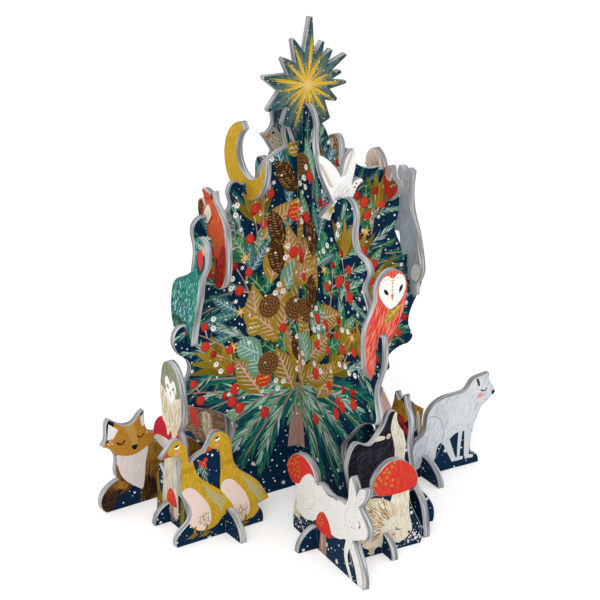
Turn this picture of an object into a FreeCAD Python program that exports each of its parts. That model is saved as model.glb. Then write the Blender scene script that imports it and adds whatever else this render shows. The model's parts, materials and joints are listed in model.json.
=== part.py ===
import FreeCAD, Part

import os
from math import cos, radians, sin

from FreeCAD import Rotation, Vector

# Pop-and-slot advent calendar: a fir tree of two crossed boards with animals hung on its
# branches, and nine woodland groups that stand round its foot. Every piece is die cut from one
# thickness of board and they all push together by half-lap slots.
# Origin: on the ground under the line where the two tree boards cross. +Z is up, tree board A
# lies along X with its front towards -Y, and tree board B lies along Y. Millimetres.

SIZES = {
    "board": 6.0,  # thickness of every piece
    "slot_fit": 0.1,  # a slot is wider than the board by this
    # tree board A, along X, and tree board B, along Y
    "panel_b_height": 334.0,
    "panel_a_drop": 13.0,  # tree board A is lower than tree board B by this
    "panel_a_reach": 126.0,
    "panel_b_reach": 121.0,
    "ledge": 16.0,  # length of the level ledge on which a figure hangs
    "axis_seat": 165.0,  # height at which the two tree boards bear on each other
    # pieces hung on the tree: size across, size up, and half-lap depth
    "star_gap": 1.0,  # between the star and tree board A
    "star_width": 77.0,
    "star_height": 96.0,
    "star_lap": 15.0,
    "moon_radius": 31.0,
    "moon_bite_radius": 19.5,
    "moon_bite_across": 8.0,  # the bite's centre from the moon's own
    "moon_bite_up": 7.0,
    "moon_lap": 7.0,
    "thrush_width": 46.0,
    "thrush_height": 48.0,
    "thrush_lap": 6.0,
    "marten_width": 43.0,
    "marten_height": 77.0,
    "marten_lap": 8.0,
    "pheasant_width": 58.0,
    "pheasant_height": 94.0,
    "pheasant_lap": 6.0,
    "dove_width": 42.0,
    "dove_height": 54.0,
    "dove_lap": 6.0,
    "owl_width": 39.0,
    "owl_height": 86.0,
    "owl_lap": 6.0,
    "finch_width": 19.0,
    "finch_height": 24.0,
    "finch_lap": 6.0,
    "robin_width": 47.0,
    "robin_height": 43.0,
    "robin_lap": 14.0,
    "tall_hare_width": 42.0,
    "tall_hare_height": 110.0,
    "tall_hare_lap": 12.0,
    # groups on the ground: place of the crossing, angle, size across and up of the picture
    # board, and the two reaches and the height of the foot that crosses it
    "fox_x": -110.0,
    "fox_y": 45.0,
    "fox_angle": 2.0,
    "fox_width": 98.0,
    "fox_height": 83.0,
    "fox_foot_front": 17.0,
    "fox_foot_back": 17.0,
    "fox_foot_height": 20.0,
    "snowy_owl_x": -123.5,
    "snowy_owl_y": 1.0,
    "snowy_owl_angle": 0.0,
    "snowy_owl_width": 59.0,
    "snowy_owl_height": 143.0,
    "snowy_owl_foot_front": 17.0,
    "snowy_owl_foot_back": 17.0,
    "snowy_owl_foot_height": 18.0,
    "ducks_x": -94.6,
    "ducks_y": -39.5,
    "ducks_angle": 0.7,
    "ducks_width": 98.0,
    "ducks_height": 93.0,
    "ducks_foot_front": 25.0,
    "ducks_foot_back": 22.0,
    "ducks_foot_height": 22.0,
    "hare_x": -47.2,
    "hare_y": -101.0,
    "hare_angle": -5.0,
    "hare_width": 127.0,
    "hare_height": 86.0,
    "hare_foot_front": 20.0,
    "hare_foot_back": 20.0,
    "hare_foot_height": 20.0,
    "hedgehog_x": -8.2,
    "hedgehog_y": -134.8,
    "hedgehog_angle": -5.0,
    "hedgehog_width": 63.0,
    "hedgehog_height": 78.0,
    "hedgehog_foot_front": 17.0,
    "hedgehog_foot_back": 17.0,
    "hedgehog_foot_height": 18.0,
    "badger_x": 35.7,
    "badger_y": -113.2,
    "badger_angle": -5.0,
    "badger_width": 81.0,
    "badger_height": 107.0,
    "cub_width": 64.0,
    "cub_height": 111.0,
    "cub_lap": 20.0,
    "arctic_fox_x": 98.3,
    "arctic_fox_y": -46.3,
    "arctic_fox_angle": -3.5,
    "arctic_fox_width": 88.0,
    "arctic_fox_height": 84.0,
    "arctic_fox_foot_front": 29.0,
    "arctic_fox_foot_back": 14.0,
    "arctic_fox_foot_height": 20.0,
    "stoat_x": 88.0,
    "stoat_y": -22.0,
    "stoat_angle": 0.0,
    "stoat_width": 54.0,
    "stoat_height": 82.0,
    "stoat_foot_front": 13.0,
    "stoat_foot_back": 13.0,
    "stoat_foot_height": 18.0,
    "log_x": -60.0,
    "log_y": 62.0,
    "log_angle": 0.0,
    "log_width": 78.0,
    "log_height": 76.0,
    "bank_width": 46.0,
    "bank_height": 32.0,
    "bank_lap": 13.0,
}

PANEL_HEIGHTS = {
    "a": SIZES["panel_b_height"] - SIZES["panel_a_drop"],
    "b": SIZES["panel_b_height"],
}

# Outlines. Each is a list of runs that follow each other round the board, and a run starts
# where the last one ended. A run to one point is a straight cut, and a run through more points
# is a smooth curve. Points are (across, up) as seen from the printed front, in the proportions
# of the drawing: the sheet's width and height set the real size. Across is measured from the
# slot in which the piece crosses its neighbour.

# Half a tree board, from its top on the axis down to the ground: (out from the axis, up).
# A run that starts with a name is the level ledge on which that figure hangs: name, out, up.
A_LEFT = [
    [(0, 317)],
    [(7, 320), (11, 321), (15, 314), (14, 305)],
    [(13, 299)],
    [(24, 295), (34, 288), (39, 277)],
    ["moon", 48, 275],
    [(63, 277), (67, 268), (65, 259), (70, 253), (75, 254)],
    ["marten", 84, 254],
    [(99, 246), (97, 228), (99, 210), (96, 192), (94, 174)],
    ["pheasant", 104, 168],
    [(117, 164), (119, 154), (113, 143), (106, 136), (105, 129), (110, 118), (114, 107)],
    [(103, 97), (90, 92), (74, 83), (64, 72)],
    [(67, 59), (76, 43), (87, 20), (95, 3)],
    [(95, 0)],
]
A_RIGHT = [
    [(0, 317)],
    [(8, 320), (18, 316), (25, 306), (29, 294)],
    ["finch", 38, 290],
    [(50, 280), (56, 275), (66, 271), (76, 271)],
    ["robin", 85, 268],
    [(97, 256), (99, 240), (98, 225), (95, 215), (98, 206), (103, 193)],
    ["tall_hare", 112, 190],
    [(124, 176), (126, 163), (121, 150), (113, 134), (113, 122), (117, 113), (110, 106)],
    [(97, 103), (91, 97), (93, 88), (82, 84), (66, 72)],
    [(64, 60), (72, 43), (84, 20), (94, 3)],
    [(94, 0)],
]
B_FRONT = [
    [(0, 334)],
    [(13, 334)],
    [(20, 330), (25, 320), (24, 308), (28, 291), (42, 276)],
    ["dove", 52, 268],
    [(78, 267), (81, 258), (79, 246), (85, 231), (97, 226), (100, 220), (95, 209), (95, 200)],
    [(101, 188), (102, 175)],
    ["owl", 112, 174],
    [(121, 160), (119, 146), (112, 128), (113, 114), (115, 104), (112, 98)],
    [(100, 95), (84, 82), (68, 64)],
    [(68, 52), (73, 39), (82, 16), (88, 3)],
    [(88, 0)],
]
B_BACK = [
    [(0, 334)],
    [(8, 333), (15, 325), (18, 310), (19, 298)],
    ["thrush", 28, 290],
    [(40, 287), (46, 278), (57, 278), (63, 271), (64, 258), (72, 250), (84, 244)],
    [(90, 232), (87, 218), (95, 206), (106, 192), (109, 176), (104, 160), (112, 146)],
    [(121, 130), (116, 114), (112, 104)],
    [(96, 96), (80, 82), (67, 64)],
    [(68, 52), (75, 34), (86, 14), (88, 3)],
    [(88, 0)],
]

# Star: tips as (angle from +X in degrees, reach from the centre). Each tip ends bluntly, and the
# notch between two tips reaches a share of the shorter one. The tail holds the slot.
STAR_CENTRE = (3, 44)
STAR_TIPS = [(-57, 35), (-30, 30), (-3, 35), (13, 31), (30, 40), (50, 33), (68, 35), (88, 52)]
STAR_TIPS += [(112, 39), (137, 33), (167, 42), (204, 41), (231, 38)]
STAR_BLUNT = 2.5
STAR_NOTCH = 0.68
STAR_TAIL = [(-15, 12), (-11, 0), (9, 0), (12, 10)]

# Moon: the angles at which its rim and its bite end.
MOON_HORNS = (98, 371)
MOON_BITE_ENDS = (117, 342)

THRUSH = [
    [(8, 0)],
    [(9, 5), (15, 8), (26, 8)],
    [(27, 12)],
    [(20, 14), (11, 22), (5, 28), (2, 36), (0, 47)],
    [(-6, 48)],
    [(-9, 42), (-8, 34), (-10, 30), (-14, 27)],
    [(-19, 26)],
    [(-15, 21), (-11, 15), (-8, 10), (-7, 0)],
]
MARTEN = [
    [(9, 0)],
    [(13, -10), (14, -22), (12, -32), (15, -39)],
    [(22, -38), (30, -26), (32, -12), (31, 4), (28, 15), (20, 25), (14, 30)],
    [(13, 38)],
    [(8, 35)],
    [(2, 37), (-4, 37)],
    [(-2, 32), (1, 26), (1, 22)],
    [(-5, 29), (-10, 26)],
    [(-11, 19), (-8, 9), (-5, 0)],
]
PHEASANT = [
    [(9, -4)],
    [(13, 12), (18, 28), (23, 44), (26, 56), (33, 66), (35, 78)],
    [(31, 88), (26, 90), (21, 87)],
    [(19, 78), (18, 68), (10, 58), (-6, 50), (-16, 44), (-22, 30), (-23, 14), (-20, 4)],
    [(-11, 2), (-4, 0)],
]
DOVE = [
    [(5, 0)],
    [(11, 5), (16, 13), (19, 18), (24, 20)],
    [(22, 24), (18, 24), (13, 20)],
    [(15, 28), (17, 38), (15, 48)],
    [(9, 44), (5, 34), (3, 28)],
    [(-4, 38), (-12, 45), (-18, 48)],
    [(-17, 38), (-13, 26), (-9, 18), (-4, 8)],
    [(-16, -2)],
    [(-11, -4), (-7, -6)],
    [(-5, 0)],
]
OWL = [
    [(6, 0)],
    [(14, 12), (21, 28), (24, 42), (21, 56), (12, 62), (2, 60), (-4, 52), (-5, 40)],
    [(-10, 30), (-15, 18), (-16, 4), (-15, -14)],
    [(-9, -24)],
    [(-5, -14), (-5, 0)],
]
FINCH = [
    [(6, 0)],
    [(5, 9), (5, 19), (0, 24), (-8, 23), (-13, 19), (-12, 14), (-9, 11)],
    [(-14, 2)],
    [(-7, 0)],
]
ROBIN = [
    [(10, 2), (17, 7), (23, 15), (21, 21)],
    [(15, 25), (12, 32), (9, 32)],
    [(5, 30), (1, 28)],
    [(-4, 38), (-12, 43)],
    [(-22, 36), (-24, 26)],
    [(-16, 22), (-9, 14), (-4, 0)],
]
TALL_HARE = [
    [(14, 0)],
    [(20, 12), (18, 26), (12, 46), (5, 62), (3, 76), (5, 96)],
    [(0, 98)],
    [(-3, 92), (-4, 84)],
    [(-7, 97), (-12, 98)],
    [(-13, 88), (-10, 74), (-14, 62), (-20, 50), (-18, 42), (-10, 40)],
    [(-8, 28), (-8, 12), (-6, 0)],
    [(6, 0)],
    [(8, -12)],
    [(13, -12)],
]

HUNG = {
    "thrush": THRUSH,
    "marten": MARTEN,
    "pheasant": PHEASANT,
    "dove": DOVE,
    "owl": OWL,
    "finch": FINCH,
    "robin": ROBIN,
    "tall_hare": TALL_HARE,
}
# On the left half (-1) or the right half (1) of the board that bears them.
ON_BOARD_A = {"moon": -1, "marten": -1, "pheasant": -1, "finch": 1, "robin": 1, "tall_hare": 1}
ON_BOARD_B = {"thrush": -1, "dove": 1, "owl": 1}

FOX = [
    [(26, 0)],
    [(30, 10), (29, 22)],
    [(39, 30)],
    [(33, 42), (22, 49), (4, 52), (-7, 53)],
    [(-5, 61)],
    [(-13, 66), (-15, 73), (-15, 83)],
    [(-20, 80), (-25, 75), (-31, 74), (-37, 76)],
    [(-47, 83)],
    [(-50, 76), (-50, 68), (-55, 60)],
    [(-46, 55), (-42, 47), (-43, 36), (-40, 27)],
    [(-48, 24), (-56, 16), (-57, 6), (-52, 0)],
]
SNOWY_OWL = [
    [(34, 0)],
    [(36, 10), (31, 19), (27, 28), (17, 31)],
    [(16, 44), (16, 60)],
    [(28, 65)],
    [(27, 76), (20, 87)],
    [(26, 98), (27, 114), (24, 130), (16, 140), (8, 143), (0, 140), (-5, 130), (-8, 114), (-5, 92)],
    [(-14, 87), (-21, 78), (-23, 68)],
    [(-14, 64), (-6, 63)],
    [(-5, 52), (-8, 40)],
    [(-14, 46)],
    [(-19, 32), (-20, 14), (-22, 0)],
]
DUCKS = [
    [(32, 0)],
    [(32, 8), (26, 17)],
    [(38, 20)],
    [(33, 30), (26, 40), (15, 49), (7, 58), (4, 70), (3, 80), (-3, 89), (-10, 91), (-15, 86)],
    [(-21, 77)],
    [(-27, 75), (-34, 70)],
    [(-36, 78), (-38, 87), (-45, 93), (-52, 89)],
    [(-60, 80)],
    [(-53, 80), (-46, 79), (-43, 70)],
    [(-44, 56), (-42, 44), (-36, 33), (-36, 20), (-43, 14), (-48, 8), (-48, 0)],
]
HARE = [
    [(74, 0)],
    [(73, 10), (66, 24), (58, 34)],
    [(70, 40), (77, 44)],
    [(79, 52), (73, 60), (66, 66)],
    [(75, 78), (77, 85)],
    [(70, 83), (62, 72)],
    [(59, 80), (54, 86)],
    [(51, 77), (50, 66), (44, 59)],
    [(34, 58), (20, 55), (6, 58), (-1, 56)],
    [(-4, 64), (-15, 70), (-30, 69), (-43, 60), (-48, 50), (-44, 43), (-34, 41)],
    [(-34, 28), (-37, 14), (-37, 0)],
]
HEDGEHOG = [
    [(33, 0)],
    [(34, 10), (27, 28), (21, 48)],
    [(28, 53), (28, 61), (22, 70), (12, 77), (2, 77), (-7, 71), (-13, 60), (-9, 52)],
    [(-17, 50), (-24, 42), (-29, 26), (-30, 0)],
]
BADGER = [
    [(19, 0)],
    [(18, 16), (8, 30), (-3, 44), (-6, 62), (-9, 76), (-12, 88)],
    [(-17, 96), (-18, 105)],
    [(-24, 107), (-29, 98), (-36, 88), (-43, 82), (-54, 86), (-61, 76), (-62, 60), (-56, 40)],
    [(-44, 24), (-34, 0)],
]
CUB = [
    [(23, 0)],
    [(21, 16), (13, 32), (2, 40), (-3, 52), (-6, 70), (-4, 88), (-9, 100)],
    [(-13, 111)],
    [(-17, 105), (-21, 103)],
    [(-26, 109)],
    [(-28, 99), (-31, 90), (-31, 78), (-36, 56), (-40, 30), (-41, 0)],
]
ARCTIC_FOX = [
    [(58, 0)],
    [(56, 8), (49, 12)],
    [(49, 28), (53, 42), (59, 54)],
    [(66, 59), (73, 64)],
    [(71, 70), (67, 76), (66, 84)],
    [(57, 83), (49, 81), (42, 73), (33, 71), (18, 70), (7, 65), (1, 56), (0, 46), (-9, 36)],
    [(-15, 24), (-15, 10), (-12, 0)],
]
STOAT = [
    [(34, 0)],
    [(33, 14), (28, 28), (27, 40), (29, 51)],
    [(22, 55), (15, 61)],
    [(17, 50), (20, 42), (20, 32)],
    [(12, 36), (2, 44), (-8, 57)],
    [(-12, 66), (-16, 74), (-20, 82)],
    [(-24, 66), (-24, 46), (-20, 20), (-20, 0)],
]
LOG = [
    [(44, 0)],
    [(46, 14), (42, 30), (46, 46), (47, 60), (45, 72)],
    [(38, 76)],
    [(24, 74), (12, 68), (0, 66), (-12, 60), (-22, 57)],
    [(-29, 52), (-31, 38), (-26, 20), (-28, 0)],
]
BANK = [
    [(24, 0)],
    [(22, 12), (15, 24), (8, 30), (-2, 32), (-12, 29), (-19, 18), (-22, 0)],
]

# Groups on the ground: picture board, its outline, and whether it lies along X or along Y.
# Most stand on a plain foot, and two are crossed by a second picture board.
FOOTED = [
    ("fox", FOX, "X"),
    ("snowy_owl", SNOWY_OWL, "Y"),
    ("ducks", DUCKS, "X"),
    ("hare", HARE, "Y"),
    ("hedgehog", HEDGEHOG, "X"),
    ("arctic_fox", ARCTIC_FOX, "X"),
    ("stoat", STOAT, "X"),
]
CROSSED = [
    ("badger", BADGER, "X", "cub", CUB),
    ("log", LOG, "Y", "bank", BANK),
]


def add_sheet(doc):
    """Spreadsheet with one aliased cell for each driving size."""
    sheet = doc.addObject("Spreadsheet::Sheet", "Sheet")
    for row, (alias, value) in enumerate(SIZES.items(), start=1):
        sheet.set(f"A{row}", alias)
        sheet.set(f"B{row}", str(value))
        sheet.setAlias(f"B{row}", alias)
    doc.recompute()
    return sheet


def origin_plane(body, role):
    """The body's own origin plane with this role."""
    return next(plane for plane in body.Origin.OriginFeatures if plane.Role == role)


def add_sketch(body, name):
    """Sketch on the body's XZ plane: its x is across the board and its y is up."""
    sketch = body.newObject("Sketcher::SketchObject", name)
    sketch.AttachmentSupport = [(origin_plane(body, "XZ_Plane"), "")]
    sketch.MapMode = "FlatFace"
    return sketch


def curve_through(points):
    """Straight line between two points, or a smooth curve through more."""
    points = [Vector(across, up, 0) for across, up in points]
    if len(points) == 2:
        return Part.LineSegment(*points)
    curve = Part.BSplineCurve()
    curve.interpolate(points)
    return curve


def joined(start, runs):
    """The runs as lists of points that each begin where the one before ended."""
    lists = []
    for run in runs:
        lists.append([start] + run)
        start = run[-1]
    return lists


def fitted(runs, width, height):
    """The runs stretched about their slot to this width and height, closed into a ring."""
    points = [point for run in runs for point in run]
    across = width / (max(x for x, _ in points) - min(x for x, _ in points))
    up = height / (max(z for _, z in points) - min(z for _, z in points))
    runs = [[(x * across, z * up) for x, z in run] for run in runs]
    return joined(runs[-1][-1], runs)


def new_board(doc, name, curves):
    """Board cut to the closed ring of curves, midway about its own XZ plane."""
    body = doc.addObject("PartDesign::Body", name)
    body.Label = name
    outline = add_sketch(body, name + "_outline")
    for curve in curves:
        outline.addGeometry(curve, False)
    pad = body.newObject("PartDesign::Pad", name + "_pad")
    pad.Profile = outline
    pad.SideType = "Symmetric"
    pad.setExpression("Length", "Sheet.board")
    return body


def picture_board(doc, name, runs):
    """Board of a figure, its drawn outline fitted to the width and height in the sheet."""
    lists = fitted(runs, SIZES[f"{name}_width"], SIZES[f"{name}_height"])
    return new_board(doc, name, [curve_through(points) for points in lists])


def cut_slot(body, middle, low, high):
    """Slot through the board at across = middle, from low to high, each an expression."""
    slot = body.newObject("PartDesign::SubtractiveBox", body.Label + "_slot")
    slot.setExpression("Length", "Sheet.board + Sheet.slot_fit")
    slot.setExpression("Width", "Sheet.board * 2")
    slot.setExpression("Height", f"({high}) - ({low})")
    slot.setExpression("Placement.Base.x", f"{middle} - (Sheet.board + Sheet.slot_fit) / 2")
    slot.setExpression("Placement.Base.y", "-Sheet.board")
    slot.setExpression("Placement.Base.z", low)


def place(body, x, y, z, angle):
    """Set the body down by four expressions: its slot line at x, y, its zero at z, its angle."""
    body.Placement.Rotation = Rotation(Vector(0, 0, 1), 1.0)
    body.setExpression("Placement.Base.x", x)
    body.setExpression("Placement.Base.y", y)
    body.setExpression("Placement.Base.z", z)
    body.setExpression("Placement.Rotation.Angle", angle)


def is_ledge(run):
    """True for a run that names a ledge and doesn't list points."""
    return isinstance(run[0], str)


def half_outline(runs, scale):
    """Half a tree board in millimetres, as lists of points that follow each other."""
    across, up = scale
    half = []
    for run in runs:
        if is_ledge(run):
            middle, height = run[1] * across, run[2] * up
            half += [[(middle + end * SIZES["ledge"] / 2, height)] for end in (-1, 1)]
        else:
            half.append([(x * across, z * up) for x, z in run])
    return joined(half[0][0], half[1:])


class TreeBoard:
    """One of the two tree boards, with the ledges of the figures that hang on it."""

    def __init__(self, doc, letter, height, left, right):
        """Cut the board from its two half outlines. height is an expression of the sheet."""
        points = [point for run in left + right if not is_ledge(run) for point in run]
        drawn_reach = max(out for out, _ in points)
        drawn_height = max(up for _, up in points)
        self.out = f"Sheet.panel_{letter}_reach / {drawn_reach}"
        self.up = f"({height}) / {drawn_height}"
        self.ledges = {run[0]: run[1:] for run in left + right if is_ledge(run)}
        scale = SIZES[f"panel_{letter}_reach"] / drawn_reach, PANEL_HEIGHTS[letter] / drawn_height
        right_lists = half_outline(right, scale)
        left_lists = [
            [(-x, z) for x, z in reversed(points)]
            for points in reversed(half_outline(left, scale))
        ]
        ground = [right_lists[-1][-1], left_lists[0][0]]
        lists = right_lists + [ground] + left_lists
        curves = [curve_through(points) for points in lists]
        self.body = new_board(doc, f"tree_board_{letter}", curves)

    def hang(self, figure, side, lap):
        """Slot the ledge of the figure, and give the figure's slot line and zero.

        side is -1 for the left half and 1 for the right half, as seen from the board's front.
        """
        out, up = self.ledges[figure.Label]
        middle = f"{side * out} * {self.out}"
        ledge = f"{up} * {self.up}"
        cut_slot(self.body, middle, f"{ledge} - {lap}", f"{ledge} + Sheet.board")
        cut_slot(figure, "0", "-Sheet.board", lap)
        return middle, f"{ledge} - 2 * {lap}"


def build_tree(doc):
    """The two tree boards, crossed at the axis by slots that meet at axis_seat."""
    height_b = "Sheet.panel_b_height"
    height_a = f"{height_b} - Sheet.panel_a_drop"
    board_a = TreeBoard(doc, "a", height_a, A_LEFT, A_RIGHT)
    board_b = TreeBoard(doc, "b", height_b, B_BACK, B_FRONT)
    cut_slot(board_a.body, "0", "Sheet.axis_seat", f"{height_a} + Sheet.board")
    cut_slot(board_b.body, "0", "-Sheet.board", "Sheet.axis_seat")
    place(board_a.body, "0", "0", "0", "0")
    place(board_b.body, "0", "0", "0", "-90")
    return board_a, board_b


def star_curves():
    """Ring of the star: blunt tips with a notch between each two, and the tail."""
    centre_x, centre_z = STAR_CENTRE

    def at(angle, reach, aside=0.0):
        """Point at this reach along the angle, and aside of that line."""
        turn = radians(angle)
        across = reach * cos(turn) - aside * sin(turn)
        return (centre_x + across, centre_z + reach * sin(turn) + aside * cos(turn))

    points = []
    for index, (angle, reach) in enumerate(STAR_TIPS):
        points += [at(angle, reach, -STAR_BLUNT / 2), at(angle, reach, STAR_BLUNT / 2)]
        if index + 1 < len(STAR_TIPS):
            next_angle, next_reach = STAR_TIPS[index + 1]
            points.append(at((angle + next_angle) / 2, STAR_NOTCH * min(reach, next_reach)))
    runs = [[point] for point in points + STAR_TAIL]
    lists = fitted(runs, SIZES["star_width"], SIZES["star_height"])
    return [curve_through(ends) for ends in lists]


def build_star(doc, board_b):
    """Star just in front of tree board A, slotted over the level top of tree board B."""
    star = new_board(doc, "star", star_curves())
    middle, top = "Sheet.board + Sheet.star_gap", "Sheet.panel_b_height"
    cut_slot(board_b.body, middle, f"{top} - Sheet.star_lap", f"{top} + Sheet.board")
    cut_slot(star, "0", "-Sheet.board", "Sheet.star_lap")
    place(star, "0", f"-({middle})", f"{top} - 2 * Sheet.star_lap", "0")


def moon_curves():
    """Ring of the crescent: an outer arc, a smaller arc bitten out of it, and two blunt horns."""
    outer, inner = SIZES["moon_radius"], SIZES["moon_bite_radius"]
    middle = Vector(0, outer, 0)
    bitten = middle + Vector(SIZES["moon_bite_across"], SIZES["moon_bite_up"], 0)
    from_horn, to_horn = (radians(angle) for angle in MOON_HORNS)
    bite_to, bite_from = (radians(angle) for angle in MOON_BITE_ENDS)
    rim = Part.ArcOfCircle(Part.Circle(middle, Vector(0, 0, 1), outer), from_horn, to_horn)
    bite = Part.ArcOfCircle(Part.Circle(bitten, Vector(0, 0, 1), inner), bite_to, bite_from)
    high_horn = Part.LineSegment(rim.StartPoint, bite.StartPoint)
    low_horn = Part.LineSegment(rim.EndPoint, bite.EndPoint)
    return [rim, low_horn, bite, high_horn]


def build_hung_figures(doc, board_a, board_b):
    """The moon and the animals, each slotted over its perch across the board that bears it."""
    moon = new_board(doc, "moon", moon_curves())
    boards = {"moon": moon}
    for name, runs in HUNG.items():
        boards[name] = picture_board(doc, name, runs)
    for name, side in ON_BOARD_A.items():
        middle, zero = board_a.hang(boards[name], side, f"Sheet.{name}_lap")
        place(boards[name], middle, "0", zero, "-90")
    for name, side in ON_BOARD_B.items():
        middle, zero = board_b.hang(boards[name], side, f"Sheet.{name}_lap")
        place(boards[name], "0", f"-({middle})", zero, "0")


def foot_curves(front, back, height):
    """Ring of a foot: half a disc, drawn out further to the front than to the back."""
    rise = [radians(angle) for angle in range(0, 181, 30)]
    reaches = [front if cos(angle) > 0 else back for angle in rise]
    points = [(cos(a) * reach, sin(a) * height) for a, reach in zip(rise, reaches)]
    points[-1] = (-back, 0)
    return [curve_through(points), curve_through([points[-1], points[0]])]


def stand_crossed(name, board, crossing, along, lap, crossing_top):
    """Slot the crossing board through the picture board and stand both on the ground."""
    cut_slot(board, "0", "-Sheet.board", lap)
    cut_slot(crossing, "0", lap, f"{crossing_top} + Sheet.board")
    angle = f"Sheet.{name}_angle"
    angles = {"X": (angle, f"{angle} - 90"), "Y": (f"{angle} - 90", angle)}[along]
    for body, body_angle in zip((board, crossing), angles):
        place(body, f"Sheet.{name}_x", f"Sheet.{name}_y", "0", body_angle)


def build_ground_groups(doc):
    """The groups round the tree: a picture board on its foot, or crossed by another."""
    for name, runs, along in FOOTED:
        board = picture_board(doc, name, runs)
        reaches = SIZES[f"{name}_foot_front"], SIZES[f"{name}_foot_back"]
        height = f"Sheet.{name}_foot_height"
        foot = new_board(doc, f"{name}_foot", foot_curves(*reaches, SIZES[f"{name}_foot_height"]))
        stand_crossed(name, board, foot, along, f"{height} / 2", height)
    for name, runs, along, second_name, second_runs in CROSSED:
        board = picture_board(doc, name, runs)
        second = picture_board(doc, second_name, second_runs)
        top = f"Sheet.{second_name}_height"
        stand_crossed(name, board, second, along, f"Sheet.{second_name}_lap", top)


def check(doc):
    """Stop if an object failed to compute, or a board isn't one valid solid."""
    for item in doc.Objects:
        if "Invalid" in item.State or "Error" in item.State:
            raise RuntimeError(f"{item.Label}: {item.State}")
    for body in doc.findObjects("PartDesign::Body"):
        if body.Shape.isNull() or not body.Shape.isValid() or len(body.Shape.Solids) != 1:
            raise RuntimeError(f"{body.Label} isn't one valid solid")


doc = FreeCAD.newDocument("AdventCalendar")
add_sheet(doc)
board_a, board_b = build_tree(doc)
build_star(doc, board_b)
build_hung_figures(doc, board_a, board_b)
build_ground_groups(doc)
doc.recompute()
check(doc)

os.makedirs("parts", exist_ok=True)
for body in doc.findObjects("PartDesign::Body"):
    body.Shape.exportStep(f"parts/{body.Label}.step")
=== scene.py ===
"""Looks of a slot-together advent calendar: printed boards, grey cut edges, floor, light and camera.

Every board is one closed mesh. Its outline comes from its solid in the frame. The print is drawn as
flat shapes in the board's own plane, and each stretch of the face wears the ink of the shape that lies
on top there. The same print shows on the back, seen through the board.
"""

import json
import logging
import math
from collections.abc import Sequence
from dataclasses import dataclass, field
from enum import Enum

import bpy
import numpy as np
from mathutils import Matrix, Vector
from mathutils.bvhtree import BVHTree
from mathutils.geometry import delaunay_2d_cdt


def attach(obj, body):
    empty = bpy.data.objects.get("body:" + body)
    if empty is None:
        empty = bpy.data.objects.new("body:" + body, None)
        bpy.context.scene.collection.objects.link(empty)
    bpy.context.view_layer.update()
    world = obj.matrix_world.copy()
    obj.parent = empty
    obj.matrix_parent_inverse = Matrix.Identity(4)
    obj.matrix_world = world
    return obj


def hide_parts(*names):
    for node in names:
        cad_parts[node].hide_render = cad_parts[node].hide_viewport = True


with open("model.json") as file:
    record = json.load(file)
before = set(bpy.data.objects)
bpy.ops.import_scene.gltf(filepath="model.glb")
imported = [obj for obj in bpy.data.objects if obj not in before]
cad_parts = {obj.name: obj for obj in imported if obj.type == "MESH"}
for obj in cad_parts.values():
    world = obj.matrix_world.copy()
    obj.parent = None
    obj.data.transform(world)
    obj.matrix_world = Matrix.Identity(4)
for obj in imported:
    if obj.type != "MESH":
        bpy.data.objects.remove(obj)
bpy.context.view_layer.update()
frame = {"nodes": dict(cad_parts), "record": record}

MM = 0.001
TINY = 1e-9
UP = np.array([0.0, 0.0, 1.0])
log = logging.getLogger("calendar")

Spot = tuple[float, float] | np.ndarray
Points = Sequence[tuple[float, float]] | np.ndarray
Span = tuple[float, float, float, float]
Amount = float | np.ndarray
Pair = tuple[np.ndarray, np.ndarray]
Cut = tuple[np.ndarray, np.ndarray, list[list[int]], list[list[int]]]
Socket = bpy.types.NodeSocket


class Ink(Enum):
    """The print's inks and the bare board, as sRGB colours."""

    NAVY = "022642"
    MIDNIGHT = "02192f"
    DEEP_TEAL = "0c4352"
    DUSK = "3a6a74"
    TEAL = "17655f"
    PEACOCK = "2b7a72"
    LAGOON = "2f8f86"
    PINE = "1d5238"
    FIR = "2f7d58"
    MOSS = "5c8a58"
    MINT = "86bd9c"
    ICE = "b9d3cf"
    SAGE = "6fa084"
    LICHEN = "a9b79a"
    STAR_RIM = "143548"
    STAR_DUSK = "35525a"
    STAR_GREEN = "566c62"
    STAR_GREY = "757d66"
    WING_BLUE = "43586f"
    MOSS_GREY = "898c6a"
    OLIVE = "7b6a1c"
    OLIVE_DARK = "5a4b16"
    OLIVE_GOLD = "96801f"
    BRONZE = "86652a"
    OCHRE = "a8892b"
    MUSTARD = "c8a02a"
    DULL_GOLD = "b98f22"
    GOLD = "dcb139"
    RUST_GOLD = "c78a35"
    CREAM_GOLD = "e2c878"
    SAND_GOLD = "c8a252"
    AMBER = "c48b34"
    AMBER_DARK = "ad7629"
    FOX_OCHRE = "9f752c"
    FOX_BROWN = "85591f"
    TAN = "9a744a"
    BROWN = "62401f"
    UMBER = "3f2513"
    TRUNK_BROWN = "7d6455"
    TRUNK = "b08d83"
    TRUNK_DARK = "9c7a70"
    TWIG = "a9857a"
    BLUSH = "e0b2a3"
    BLUSH_DEEP = "e6a595"
    PETAL = "ecd8cb"
    CHEST = "eee4e1"
    ROSE = "dc9184"
    SALMON = "ef8f78"
    CORAL = "e0574a"
    RED = "d63a2f"
    SCARLET = "dd4a33"
    CRIMSON = "c02434"
    RUST = "bf4f2a"
    DARK_RED = "a8241e"
    WINE = "7d1a18"
    ORANGE = "dd7635"
    SNOW = "fbfaf7"
    WHITE = "f0eee8"
    CREAM = "e9dfc8"
    SAND = "d3c3a0"
    STONE = "bdb8ad"
    CLOUD = "d6dce1"
    CLOUD_DARK = "bcc6ce"
    PALE_CLOUD = "e6e9ec"
    MIST = "a9b5c1"
    SLATE = "93a0aa"
    SLATE_DARK = "3c4150"
    SOOT = "2b2c36"
    BLACK = "16161b"
    BARE = "a3a4a6"
    BARE_DARK = "7c7d7f"
    BARE_PALE = "d0d1d4"


Inks = Ink | Sequence[Ink]


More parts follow.
